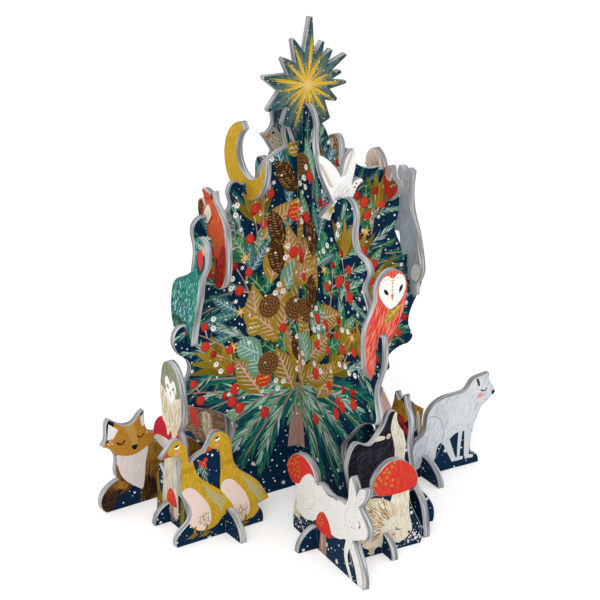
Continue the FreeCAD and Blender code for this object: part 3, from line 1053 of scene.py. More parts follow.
    def toadstool(self, foot: Spot, high: float, wide: float, lean: float = 0.0) -> None:
        """Draw a red-capped toadstool with a pale stem.

        Args:
            foot: Middle of its foot.
            high: Its height.
            wide: Width of its cap.
            lean: How far its cap stands to the right of its foot.
        """
        x, up = foot
        top = x + lean
        stem = [
            (x - wide * 0.24, up), (top - wide * 0.16, up + high * 0.66),
            (top + wide * 0.16, up + high * 0.66), (x + wide * 0.24, up),
        ]
        self.patch(Ink.TWIG, stem, 1)
        self.stamp(Ink.BLUSH, Stencil.HAIR, [(x - wide * 0.06, up)], 90 - lean, high * 0.6, wide * 0.09)
        low = up + high * 0.55
        cap = [
            (top - wide / 2, low), (top - wide * 0.36, up + high * 0.84), (top, up + high),
            (top + wide * 0.36, up + high * 0.84), (top + wide / 2, low), (top, low - high * 0.06),
        ]
        self.spots(self.patch(Ink.RED, cap), wide * 0.07)

    def spots(self, ring: np.ndarray, size: float) -> None:
        """Scatter golden spots over the upper left of a toadstool's cap.

        Args:
            ring: The cap's edge.
            size: The spots' width.
        """
        places = self.spread(ring, size * 2.1)
        across, up = ((places - ring.min(0)) / np.ptp(ring, axis=0)).T
        self.stamp(Ink.RUST_GOLD, Stencil.SPECK, places[(across < 0.5) & (up > 0.25)], 0, size, size)


@dataclass
class Picture:
    """What is printed on one board; by itself it is a plain night sky with snow."""

    span: Span | None = None
    ground: Ink = Ink.NAVY
    seed: int = 1
    pen: Pen = field(init=False)

    def print_on(self, board: Board) -> Pen:
        """Draw the print for a board.

        Args:
            board: The board.

        Returns:
            The pen, with all the marks that it laid.
        """
        self.pen = Pen.over(board, self.span, self.seed)
        self.paint()
        return self.pen

    def paint(self) -> None:
        """Draw snow all over."""
        self.pen.snow(self.pen.edge, 6.5, 1.3)


@dataclass
class Clump:
    """A few leaves or fruits about one spot of the thicket, of a kind that goes by its number."""

    pen: Pen
    spot: np.ndarray
    number: int
    turn: float
    cool: bool

    def foot(self, back: float) -> np.ndarray:
        """Place a stalk's foot, this far behind the spot."""
        return self.spot - headed(self.turn) * back

    def holly(self, back: float, size: tuple[float, float], *leaves: tuple[Ink, float]) -> None:
        """Draw holly leaves.

        Args:
            back: How far behind the spot they start.
            size: Their length and width.
            *leaves: Ink of each leaf, and how far it turns from the clump's direction.
        """
        bend = self.pen.chance.uniform(-0.12, 0.12)
        for ink, swing in leaves:
            turn = self.turn + swing
            self.pen.leaf(ink, Ink.MINT, self.foot(back), turn, *size, bend, 3, Stencil.HOLLY)

    def broad_leaves(self) -> None:
        """Draw broad leaves for the heart."""
        pen, turn, kind = self.pen, self.turn, self.number % 5
        if kind == 3 and not self.cool:
            self.holly(13, (28, 13), (Ink.FIR, -26), (Ink.PINE, 28))
            return
        bend = pen.chance.uniform(-0.12, 0.12)
        if self.cool and kind != 2:
            ink = (Ink.MOSS, Ink.FIR, Ink.DUSK, Ink.SAGE)[self.number % 4]
            pen.leaf(ink, Ink.ICE, self.foot(17), turn, 35, 11, bend, 6)
        elif kind == 1:
            pen.leaf(Ink.SAGE, Ink.ICE, self.foot(14), turn, 29, 22, bend, 5, Stencil.DROP)
        else:
            ink = Ink.OLIVE_GOLD if kind == 4 else Ink.OCHRE
            pen.leaf(ink, Ink.BLUSH, self.foot(22), turn, 47, 23, bend, 7, Stencil.BEECH)

    def slim_leaves(self) -> None:
        """Draw slim leaves for outside the heart."""
        pen, turn, kind = self.pen, self.turn, self.number % 6
        if kind == 5:
            self.holly(15, (25, 11), (Ink.PINE, -24), (Ink.FIR, 26))
            return
        bend = pen.chance.uniform(-0.12, 0.12)
        if kind in (0, 3):
            golds = (Ink.OLIVE, Ink.OLIVE, Ink.OCHRE, Ink.OLIVE_GOLD, Ink.OCHRE)
            for ink, swing in zip(golds, (-34, 34, -17, 17, 0)):
                self.blade(ink, turn + swing, 33)
        elif kind == 2:
            pen.fir(self.foot(15), turn, 34, 9, bend, FROSTED, 1.9)
        else:
            pairs = {
                1: ((Ink.DUSK, Ink.ICE, -14, 34, 10, 7), (Ink.DUSK, Ink.MINT, 22, 30, 9, 6)),
                4: ((Ink.MOSS, Ink.ICE, 0, 28, 10, 5), (Ink.FIR, Ink.PINE, 40, 26, 9, 5)),
            }
            for ink, vein, swing, length, width, veins in pairs[kind]:
                pen.leaf(ink, vein, self.foot(15), turn + swing, length, width, bend, veins)

    def blade(self, ink: Ink, turn: float, length: float) -> None:
        """Draw one slim leaf with two long veins.

        Args:
            ink: Its ink.
            turn: Its direction.
            length: Its length.
        """
        pen, root = self.pen, self.foot(15)
        pen.patch(ink, pen.stamp(ink, Stencil.LEAF, [root], turn, length, 6.5)[0], 1)
        start = [root + headed(turn) * 4]
        for swing in (-4, 4):
            pen.stamp(Ink.OLIVE_DARK, Stencil.HAIR, start, turn + swing, length * 0.78, 0.6)

    def cones(self) -> None:
        """Draw what hangs in the heart: cones, baubles, berries and bunches."""
        pen, spot, turn, kind = self.pen, self.spot, self.turn, self.number % 7
        if kind == 0:
            pen.cone(self.foot(17), turn, 34, 16)
        elif kind in (1, 5):
            pen.berry(spot, 9.5)
            pen.mistletoe(spot + headed(turn + np.array([40, 110])) * 8.5, 4.8)
        elif kind == 2:
            ink, band = ((Ink.RED, Ink.GOLD), (Ink.OCHRE, Ink.CREAM))[self.number // 7 % 2]
            pen.bauble(spot, 15.0, ink, band)
        elif kind == 3:
            pen.rosette(spot, 21.0)
        elif kind == 4:
            pen.mistletoe(spot + headed(turn + np.array([0, 120, 240])) * 4.4, 4.8)
        else:
            pen.berry_twig(self.foot(12), turn, 26, 8.0, 3)

    def berries(self) -> None:
        """Draw what hangs outside the heart: berries, bunches and stars."""
        pen, spot, turn, kind = self.pen, self.spot, self.turn, self.number % 6
        if kind in (0, 3):
            pen.berry_twig(self.foot(13), turn, 28, 8.4, 3)
        elif kind == 1:
            pen.berry(spot, 9.5)
            pen.berry(spot + headed(turn + 60) * 9.5, 7.5, Ink.DARK_RED)
        elif kind in (2, 4):
            pen.mistletoe(spot + headed(turn + np.array([0, 130])) * 4.4, 4.8)
        else:
            pen.stamp(Ink.GOLD, Stencil.STAR, [spot], turn, 12, 12)
            pen.stamp(Ink.CREAM, Stencil.STAR, [spot], turn, 5, 5)


@dataclass
class TreeHalves(Picture):
    """A tree board: trunk, drooping fir boughs, and a thicket of leaves, cones, berries and baubles."""

    trunk_foot: float = 39.0
    crown: float = 96.0
    leaf_gap: float = 22.0
    fruit_gap: float = 24.0
    rim_gap: float = 16.0
    rim_twig: float = 30.0
    heart: float = 64.0
    cool: float = 232.0

    def paint(self) -> None:
        """Draw the whole board from the sky to the last snow."""
        pen = self.pen
        pen.snow(pen.edge, 9.0, 1.7)
        self.paint_trunk()
        self.paint_rim()
        self.paint_boughs()
        self.paint_thicket()
        pen.snow(pen.edge, 15.0, 1.8)

    def paint_trunk(self) -> None:
        """Draw the bare trunk round the slot."""
        pen = self.pen
        foot, head = self.trunk_foot, self.crown
        pen.patch(Ink.TRUNK, [(-13.5, foot), (0, foot - 1.5), (13.5, foot), (7, head), (-7, head)], 1)
        grain = [(-12, foot + 1), (12, foot + 1), (6, head), (-6, head)]
        pen.coat((Ink.TWIG, Ink.TRUNK_DARK), grain, 90, 17, 0.6, 4.2, 1)

    def paint_boughs(self) -> None:
        """Draw the boughs that hang from the trunk's head, dark ones first and frosted ones over them."""
        pen = self.pen
        for dip, length in ((-22, 100), (-5, 102), (12, 96), (26, 90), (39, 84), (53, 74)):
            for side in (-1, 1):
                turn = -dip if side > 0 else 180 + dip
                length = length * pen.chance.uniform(0.92, 1.05)
                pen.fir((side * 4, self.crown), turn, length, 22, -0.16 * side, DARK_GREENS, 2.4)
        for dip, length in ((-12, 84), (9, 86), (31, 82), (52, 62)):
            for side in (-1, 1):
                turn = (-dip if side > 0 else 180 + dip) + pen.chance.normal(0, 3)
                length = length * pen.chance.uniform(0.9, 1.08)
                pen.fir((side * 4, self.crown), turn, length, 18, -0.12 * side, FROSTED, 2.5)
        for spot in ((-67, 93), (-60, 86), (-36, 76), (30, 72), (60, 88), (68, 97)):
            pen.berry(spot, 9.5)
        for turn, length in ((248, 34), (292, 36), (271, 26)):
            pen.fir((0, self.crown), turn, length, 11, 0.04, (Ink.TEAL, Ink.FIR, Ink.MOSS, Ink.MINT), 2.0)

    def paint_rim(self) -> None:
        """Draw short fir twigs that point out at the rim all the way up."""
        pen = self.pen
        rim = pen.edge[pen.edge[:, 1] > 84]
        steps = np.linalg.norm(np.diff(rim, axis=0, prepend=rim[:1]), axis=1)
        runs = np.floor(np.cumsum(steps) / self.rim_gap)
        for tip in rim[np.nonzero(np.diff(runs, prepend=-1))[0]]:
            if abs(tip[0]) < 9 and tip[1] < 300:
                continue
            turn = math.degrees(math.atan2(tip[1] - 150 - 0.25 * abs(tip[0]), tip[0]))
            turn = turn + pen.chance.normal(0, 14)
            inks = FROSTED if pen.chance.random() < 0.3 else DARK_GREENS
            root = tip - headed(turn) * (self.rim_twig + 2)
            pen.fir(root, turn, self.rim_twig, 9.5, pen.chance.uniform(-0.12, 0.12), inks, 2.1)

    def paint_thicket(self) -> None:
        """Lay leaves over the middle of the board, slim ones outside, then fruit between them."""
        pen = self.pen
        top = pen.edge[:, 1].max()
        area = pen.edge * (0.86, 1.0)
        leaves, fruit = pen.spread(area, self.leaf_gap), pen.spread(area, self.fruit_gap)
        leaves = leaves[(leaves[:, 1] > self.crown + 14) & (leaves[:, 1] < top - 16)]
        leaves = leaves[np.argsort(-np.abs(leaves[:, 0]) - 0.5 * leaves[:, 1])]
        for number, spot in enumerate(leaves):
            clump = self.clump(spot, number)
            if self.is_heart(spot):
                clump.broad_leaves()
            else:
                clump.slim_leaves()
        fruit = fruit[(fruit[:, 1] > self.crown - 2) & (fruit[:, 1] < top - 10)]
        fruit = fruit[np.lexsort((fruit[:, 0], fruit[:, 1] // self.fruit_gap))]
        for number, spot in enumerate(fruit):
            clump = self.clump(spot, number)
            if self.is_heart(spot):
                clump.cones()
            else:
                clump.berries()

    def is_heart(self, spot: np.ndarray) -> bool:
        """Tell whether a spot lies in the heart of the thicket, which narrows upwards."""
        return abs(spot[0]) < self.heart * (1.3 - spot[1] / 300)

    def clump(self, spot: np.ndarray, number: int) -> Clump:
        """Start a clump of this number that points away from the trunk's head, shaken a little."""
        turn = math.degrees(math.atan2(spot[1] - self.crown + 14, spot[0]))
        return Clump(self.pen, spot, number, turn + self.pen.chance.normal(0, 22), spot[1] > self.cool)


@dataclass
class TreetopStar(Picture):
    """A dusky star, paler at its heart, with rough golden rays and cream dots."""

    ground: Ink = Ink.STAR_RIM
    rays: int = 26
    grains: int = 11

    def paint(self) -> None:
        """Draw the glow, the rays with loose grains along them, and the dots."""
        pen = self.pen
        low, high = pen.edge.min(0), pen.edge.max(0)
        middle = np.array([0.48 * low[0] + 0.52 * high[0], 0.54 * low[1] + 0.46 * high[1]])
        bearing = bearings(pen.edge - middle)
        reach = np.linalg.norm(pen.edge - middle, axis=1)
        glow = pen.spread(pen.edge, 2.0)
        turn = bearings(glow - middle)
        share = np.linalg.norm(glow - middle, axis=1) / np.interp(turn, bearing, reach, period=360)
        share = share + pen.chance.normal(0, 0.1, len(share))
        for ink, most in ((Ink.STAR_DUSK, 0.86), (Ink.STAR_GREEN, 0.62), (Ink.STAR_GREY, 0.38)):
            near = share < most
            pen.stamp(ink, Stencil.LEAF, glow[near], turn[near], 6.0, 2.3)
        number = np.arange(self.rays)
        turn = number * 360 / self.rays + pen.chance.normal(0, 3, self.rays)
        length = np.interp(turn, bearing, reach, period=360) * np.where(number % 2, 0.62, 0.93)
        roots = middle - headed(turn) * 1.5
        pen.stamp(Ink.MUSTARD, Stencil.HAIR, roots, turn - 1.5, length, np.where(number % 2, 1.6, 2.6))
        pen.stamp(Ink.GOLD, Stencil.HAIR, roots, turn + 1, length * 0.94, np.where(number % 2, 1.2, 2.0))
        pen.stamp(Ink.CREAM_GOLD, Stencil.HAIR, roots, turn, length * 0.5, 0.6)
        along = np.tile(np.linspace(0.25, 1.0, self.grains), self.rays)
        beam = np.repeat(turn, self.grains) + pen.chance.normal(0, 2.2, len(along))
        grains = middle + headed(beam) * (along * np.repeat(length, self.grains))[:, None]
        pen.stamp(Ink.GOLD, Stencil.SPECK, grains, 0, pen.chance.uniform(0.5, 1.2, len(along)), 0.8)
        dots = pen.spread(pen.edge, 8.0)
        pen.stamp(Ink.CREAM, Stencil.SPECK, dots, 0, pen.chance.uniform(0.5, 1.5, len(dots)), 1.0)


@dataclass
class Moon(Picture):
    """A crescent moon in golden strokes that follow its curve."""

    ground: Ink = Ink.MUSTARD

    def paint(self) -> None:
        """Draw the strokes round the middle of the crescent's box."""
        pen = self.pen
        low, high = pen.edge.min(0), pen.edge.max(0)
        middle = (low + high) / 2
        roots = pen.spread(pen.edge, 2.6)
        turn = bearings(roots - middle) + 90
        inks = (Ink.GOLD, Ink.DULL_GOLD, Ink.MUSTARD)
        pen.stamp(inks, Stencil.HAIR, roots, turn, pen.chance.uniform(4, 9, len(roots)), 0.9, 0.1)


@dataclass
class Thrush(Picture):
    """A speckled thrush that faces left with its wing raised, on a green twig."""

    span: Span = (-19, 27, 0, 48)
    ground: Ink = Ink.WING_BLUE

    def paint(self) -> None:
        """Draw the wing and tail, the breast, the head and the twig."""
        pen = self.pen
        pen.coat((Ink.SLATE, Ink.DUSK, Ink.NAVY), pen.edge, 100, 9, 1.0, 2.0, 1)
        pen.coat((Ink.STONE, Ink.BRONZE), [(2, 20), (12, 18), (28, 12), (26, 7), (8, 9)], 162, 8, 0.9, 1.7)
        bird = [(-20, 26.5), (-13, 30), (-8.5, 31), (-4, 28), (1, 20), (6, 12), (3, 6), (-6, 8), (-14, 17)]
        pen.patch(Ink.STONE, bird)
        breast = [(-12, 20), (-7, 23), (-2, 19), (4, 11), (1, 7), (-6, 10)]
        pen.fur(Ink.CREAM, Ink.BROWN, breast, 60, 1.5, 0.9, 1.9)
        pen.patch(Ink.ORANGE, [(-17, 23), (-12, 22.5), (-10.6, 24.6), (-12.4, 26.4)], 1)
        pen.dot(Ink.BLACK, [(-8.6, 26.3)], 2.3, 2.3)
        pen.patch(Ink.PINE, [(-9, -2), (12, -2), (11, 5), (4, 8), (-3, 10), (-9, 9)])
        pen.fir((-8, 2), 10, 18, 5, 0.1)


@dataclass
class Marten(Picture):
    """A red marten that clings to the tree, with a cream bib and a cone under its paws."""

    span: Span = (-11, 32, -39, 38)
    ground: Ink = Ink.RUST

    def paint(self) -> None:
        """Draw the marten."""
        pen = self.pen
        pen.coat((Ink.CORAL, Ink.RUST, Ink.ORANGE), pen.edge, 100, 7, 1.0, 2.3, 1)
        tail = [
            (10, -12), (15, -20), (13, -32), (15, -41), (24, -37), (32, -22), (33, -6), (26, -2),
            (20, -14),
        ]
        pen.fur(Ink.DARK_RED, (Ink.RUST, Ink.WINE, Ink.RED), tail, 80, 8, 1.0, 2.2)
        pen.patch(Ink.CREAM, [(0, 8), (6, 12), (10, 20), (6, 26), (0, 20), (-3, 12)])
        pen.coat(Ink.STONE, [(0, 9), (6, 13), (9, 20), (5, 24), (-1, 16)], 75, 4, 0.6, 2)
        pen.cone((-13, 6), 66, 24, 10)
        pen.dot(Ink.BLACK, [(-3.4, 35.4)], 2.6, 2.2)
        pen.shut_eye((4.5, 31.0), 4.6, -8)
        pen.patch(Ink.WINE, [(9, 32), (13.4, 37), (13, 31)], 1)
        pen.line(Ink.WINE, [(12, 18), (4, 10), (-4, 6)], 1.6, 0.8)


@dataclass
class Pheasant(Picture):
    """A teal pheasant with red wattles, its wing in rows of small feathers."""

    span: Span = (-23, 35, -4, 90)
    ground: Ink = Ink.PEACOCK

    def paint(self) -> None:
        """Draw the pheasant."""
        pen = self.pen
        pen.coat((Ink.TEAL, Ink.LAGOON, Ink.MINT), pen.edge, 250, 5, 1.1, 2.2, 1)
        wing = [(-22, 22), (-18, 38), (-6, 46), (6, 42), (12, 28), (6, 14), (-6, 10), (-18, 10)]
        pen.coat((Ink.DUSK, Ink.ICE, Ink.LAGOON, Ink.DEEP_TEAL), wing, 240, 4.5, 1.5, 2.6)
        pen.patch(Ink.PINE, [(-24, -6), (-23, 12), (-12, 16), (0, 12), (8, 2), (8, -6)])
        grass = [(-22, -3), (-20, 12), (-6, 12), (4, 2), (2, -4)]
        pen.coat((Ink.SAGE, Ink.FIR, Ink.DEEP_TEAL), grass, 260, 8, 1.0, 2)
        pen.patch(Ink.DEEP_TEAL, [(22, 60), (30, 64), (35, 74), (30, 80), (22, 76)])
        pen.patch(Ink.RED, [(24, 78), (30, 80), (31, 72), (27, 64), (23, 70)])
        pen.patch(Ink.ROSE, [(28, 84), (34, 84), (36, 78), (31, 78)])
        pen.dot(Ink.CREAM, [(26.5, 83)], 3.6, 3.6)
        pen.dot(Ink.BLACK, [(26.7, 83)], 1.8, 1.8)
        pen.patch(Ink.SAND, [(31, 86), (38, 79), (32, 80)], 1)


@dataclass
class Dove(Picture):
    """A white dove with spread wings and a sprig in its beak."""

    span: Span = (-18, 24, -6, 48)
    ground: Ink = Ink.SNOW

    def paint(self) -> None:
        """Draw the feathers of the wings and the tail, the breast and the head."""
        pen = self.pen
        reach = np.arange(7, 29, 1.9)[:, None]
        for root, turn, quill in (((3, 20), 67, 18), ((-3, 18), 118, 338)):
            roots = root + headed(turn) * reach + headed(turn + 90) * 3.4
            pen.stamp(Ink.OCHRE, Stencil.HAIR, roots, float(quill), 7.5, 0.55)
            pen.stamp(Ink.STONE, Stencil.HAIR, roots + headed(turn) * 0.9, float(quill), 6.0, 0.5)
        pen.coat((Ink.CLOUD, Ink.STONE), [(-4, 6), (8, 6), (14, 16), (6, 24), (-4, 20)], 40, 5, 0.6, 2.4)
        swings = 214 + np.linspace(-20, 20, 7)
        pen.stamp(Ink.MUSTARD, Stencil.HAIR, np.tile((-2.0, 6.0), (7, 1)), swings, 15, 0.7)
        pen.dot(Ink.BLACK, [(17.2, 20.6)], 1.5, 1.5)
        pen.dot(Ink.ROSE, [(15.6, 17.8)], 2.8, 2.0)
        pen.patch(Ink.ORANGE, [(20, 20.5), (25, 22.5), (22, 18.6)], 1)
        pen.fir((20, 18), -64, 11, 3.6, 0.1, (Ink.FIR, Ink.PINE), 1.4)


@dataclass
class Owl(Picture):
    """A coral owl with a pale heart-shaped face and long feather strokes."""

    span: Span = (-16, 24, -24, 62)
    ground: Ink = Ink.CORAL

    def paint(self) -> None:
        """Draw the owl."""
        pen = self.pen
        body = [(-4, 40), (22, 40), (20, 26), (12, 8), (2, -6), (-8, -24), (-16, -14), (-16, 6), (-10, 28)]
        pen.coat((Ink.RED, Ink.SALMON, Ink.RED, Ink.SALMON), body, 252, 13, 1.0, 2.3)
        crown = [(-4, 44), (-4, 54), (4, 61), (12, 62), (21, 57), (24, 44), (22, 34)]
        pen.coat((Ink.RED, Ink.SALMON), crown, (10.0, 44.0), 4, 0.9, 1.9)
        pen.patch(Ink.SNOW, [(24, 34), (20, 24), (12, 8), (4, -4), (-2, -12), (5, -12), (16, 8), (26, 26)])
        pen.coat(Ink.MUSTARD, [(23, 32), (18, 18), (6, -2), (4, -8), (16, 8), (25, 26)], 60, 2.6, 0.8, 2)
        face = [
            (10, 55), (4, 58), (-2, 54), (-3, 45), (2, 36), (9, 31), (17, 36), (22, 45), (21, 54),
            (15, 58),
        ]
        pen.patch(Ink.SNOW, face)
        for middle, first in (((3.5, 48), 30), ((15.5, 48), -10)):
            turn = np.linspace(first, first + 160, 8)
            spots = np.array(middle) + headed(turn) * 6.3
            pen.stamp(Ink.MUSTARD, Stencil.HAIR, spots, turn, 1.8, 0.9)
        pen.stamp(Ink.MUSTARD, Stencil.HAIR, [(9.6, y) for y in (42.5, 45, 47.5, 50, 52.5)], 90, 2.2, 1.7)
        pen.stamp(Ink.BLACK, Stencil.LEAF, [(1.2, 48.0), (16.2, 42.6)], np.array([-50.0, 66.0]), 7.4, 2.9)
        pen.patch(Ink.ORANGE, [(8.1, 42.5), (11.1, 42.5), (9.6, 36.8)], 1)
        pen.leaf(Ink.OCHRE, Ink.CREAM_GOLD, (19, 33), 212, 22, 8, 0.05, 4)


@dataclass
class Finch(Picture):
    """A small brown finch on a green twig."""

    span: Span = (-14, 6, 0, 24)
    ground: Ink = Ink.TAN

    def paint(self) -> None:
        """Draw the finch."""
        pen = self.pen
        pen.coat((Ink.BROWN, Ink.SAND, Ink.TAN), pen.edge, 250, 3.6, 0.9, 1.6, 1)
        pen.patch(Ink.CREAM, [(-8, 10), (-4, 12), (-3, 19), (-8, 20), (-11, 16)])
        pen.dot(Ink.BLACK, [(-7.6, 20)], 1.5, 1.5)
        pen.patch(Ink.UMBER, [(-12, 20), (-15, 18), (-11, 17.4)], 1)
        pen.patch(Ink.PINE, [(-15, -1), (7, -1), (6, 4), (-4, 6), (-13, 5)])
        pen.fir((-12, 2), 4, 16, 4, 0.1, GREENS, 1.5)


@dataclass
class Robin(Picture):
    """A robin that lands with its wings up, in tan, cream and red."""

    span: Span = (-24, 23, 0, 43)
    ground: Ink = Ink.TAN

    def paint(self) -> None:
        """Draw the robin."""
        pen = self.pen
        pen.coat((Ink.BROWN, Ink.SAND, Ink.TAN), pen.edge, 30, 5, 0.9, 2, 1)
        pen.patch(Ink.RED, [(2, 22), (8, 20), (13, 14), (20, 17), (22, 11), (17, 4), (9, 4), (3, 12)])
        pen.coat((Ink.CORAL, Ink.CRIMSON), [(4, 19), (12, 13), (20, 13), (16, 6), (8, 7)], 40, 3, 0.7, 1.5)
        for root, turn, wing in (
            ((-2, 22), 132, [(-4, 20), (-14, 24), (-25, 30), (-23, 40), (-12, 45), (-3, 40), (1, 28)]),
            ((9, 20), 88, [(6, 21), (6, 32), (11, 34), (15, 30), (13, 20)]),
        ):
            pen.patch(Ink.PETAL, wing)
            swings = np.linspace(-24, 24, 8)
            pen.stamp((Ink.BRONZE, Ink.ROSE), Stencil.HAIR, np.tile(root, (8, 1)), turn + swings, 24, 0.9)
        pen.dot(Ink.BLACK, [(17.6, 19.4)], 1.8, 1.8)
        pen.patch(Ink.UMBER, [(22, 20), (25, 17), (21.4, 17)], 1)


@dataclass
class TallHare(Picture):
    """A blue-grey hare that stands on its hind legs."""

    span: Span = (-20, 20, -12, 98)
    ground: Ink = Ink.MIST

    def paint(self) -> None:
        """Draw the hare."""
        pen = self.pen
        pen.coat((Ink.CLOUD_DARK, Ink.SLATE, Ink.MIST), pen.edge, 262, 9, 0.8, 2.4, 1)
        for ear in (
            [(-3, 84), (-7, 97), (-11, 96), (-10, 80), (-6, 68)],
            [(-1, 80), (0, 97), (4, 94), (2, 78), (0, 70)],
        ):
            pen.coat((Ink.BLUSH, Ink.CLOUD), ear, 90, 8, 0.8, 2.2)
        pen.patch(Ink.WHITE, [(8, 4), (15, 2), (20, 9), (17, 17), (10, 14)])
        pen.coat(Ink.CLOUD, [(9, 5), (15, 3), (19, 9), (16, 16), (10, 13)], (13.0, 9.0), 3, 0.6, 1.8)
        pen.shut_eye((-12, 52), 5, 8)
        pen.dot(Ink.ROSE, [(-19, 46)], 2.4, 1.8)


@dataclass
class Fox(Picture):
    """A sitting fox with shut eyes, a pale chest and dark paws, on snowy ground."""

    span: Span = (-57, 39, 0, 83)

    def paint(self) -> None:
        """Draw the body, the paws, the chest and the head."""
        pen = self.pen
        pen.snow(pen.edge, 8, 1.9)
        self.paint_body()
        self.paint_head()

    def paint_body(self) -> None:
        """Draw the flank, the dark legs and the chest."""
        pen = self.pen
        body = [
            (-44, 50), (-30, 58), (-2, 55), (20, 51), (34, 43), (42, 31), (33, 22), (22, 20), (16, 12),
            (8, 3), (-2, -2), (-20, -2), (-20, 14), (-24, 20), (-40, 28),
        ]
        pen.patch(Ink.FOX_BROWN, body)
        upper = [(-14, 54), (20, 50), (36, 40), (41, 31), (30, 30), (-16, 36)]
        pen.patch(Ink.FOX_OCHRE, [(-14, 55), (20, 51), (36, 42), (42, 31), (30, 34), (6, 36), (-16, 38)])
        pen.coat((Ink.FOX_BROWN, Ink.FOX_OCHRE, Ink.OCHRE), upper, 262, 12, 0.9, 2.0)
        lower = [(-16, 38), (20, 36), (34, 30), (24, 23), (14, 14), (8, 8), (-18, 6), (-20, 20)]
        pen.coat((Ink.FOX_BROWN, Ink.BROWN, Ink.FOX_OCHRE), lower, 264, 12, 0.9, 2.0)
        for leg in ([(-20, 24), (-8, 24), (-6, 0), (-20, -1)], [(-8, 18), (10, 20), (8, 4), (-4, 0)]):
            pen.coat((Ink.UMBER, Ink.BROWN, Ink.UMBER, Ink.BLACK), leg, 268, 12, 1.4, 1.6)
        paw = [
            (-28, 24), (-40, 28), (-49, 23), (-58, 15), (-58, 2), (-50, -3), (-46, 4), (-42, 12),
            (-30, 16),
        ]
        pen.patch(Ink.BROWN, paw)
        dark = [(-42, 22), (-57, 15), (-58, 2), (-50, -2), (-44, 8), (-36, 16)]
        pen.coat((Ink.UMBER, Ink.BLACK), dark, 235, 7, 1.5, 1.7)
        wrist = [(-30, 22), (-40, 27), (-47, 22), (-44, 17), (-32, 17)]
        pen.coat((Ink.FOX_BROWN, Ink.AMBER), wrist, 215, 6, 1.1, 1.8)
        chest = [(-40, 50), (-14, 52), (-15, 36), (-18, 14), (-24, 16), (-35, 26), (-40, 38)]
        pen.fur(Ink.CHEST, (Ink.SNOW, Ink.PETAL), chest, 265, 8, 0.5, 3.2)

    def paint_head(self) -> None:
        """Draw the head, its ears, its shut eyes and its nose."""
        pen = self.pen
        head = [
            (-56, 60), (-50, 66), (-50, 76), (-47, 84), (-38, 77), (-30, 74), (-21, 79), (-14, 84),
            (-14, 72), (-5, 62), (-6, 56), (-14, 50), (-24, 46), (-34, 47), (-46, 53),
        ]
        hairs = (Ink.RUST_GOLD, Ink.AMBER_DARK, Ink.AMBER)
        pen.fur(Ink.AMBER, hairs, head, (-26.0, 56.0), 5, 0.7, 2.1, 3)
        pen.patch(Ink.SAND_GOLD, [(-34, 76), (-26, 76), (-22, 62), (-22.6, 53), (-26.4, 53), (-28, 60)])
        for ink, ear in (
            (Ink.BLACK, [(-51.5, 62), (-49, 86), (-42, 80), (-43, 66)]),
            (Ink.SNOW, [(-48.8, 65), (-47.0, 79), (-38.5, 72), (-43, 65)]),
            (Ink.BLACK, [(-18.6, 81), (-14, 86), (-11.5, 70), (-14.6, 69)]),
            (Ink.SNOW, [(-18.6, 77), (-15.8, 81), (-14.2, 71), (-17, 69)]),
        ):
            pen.patch(ink, ear, 1)
        pen.shut_eye((-36.5, 60), 8.0, 4)
        pen.shut_eye((-18.5, 61.5), 6.5, 8)
        pen.patch(Ink.BLACK, [(-27, 54), (-22, 54.4), (-23, 50.6), (-25.6, 50.6)])
        freckles = [(-46, 63.5), (-47.5, 61), (-44.5, 61), (-12.5, 66), (-13, 63), (-10.5, 65)]
        pen.dot(Ink.CREAM, freckles, 1.6, 1.6)


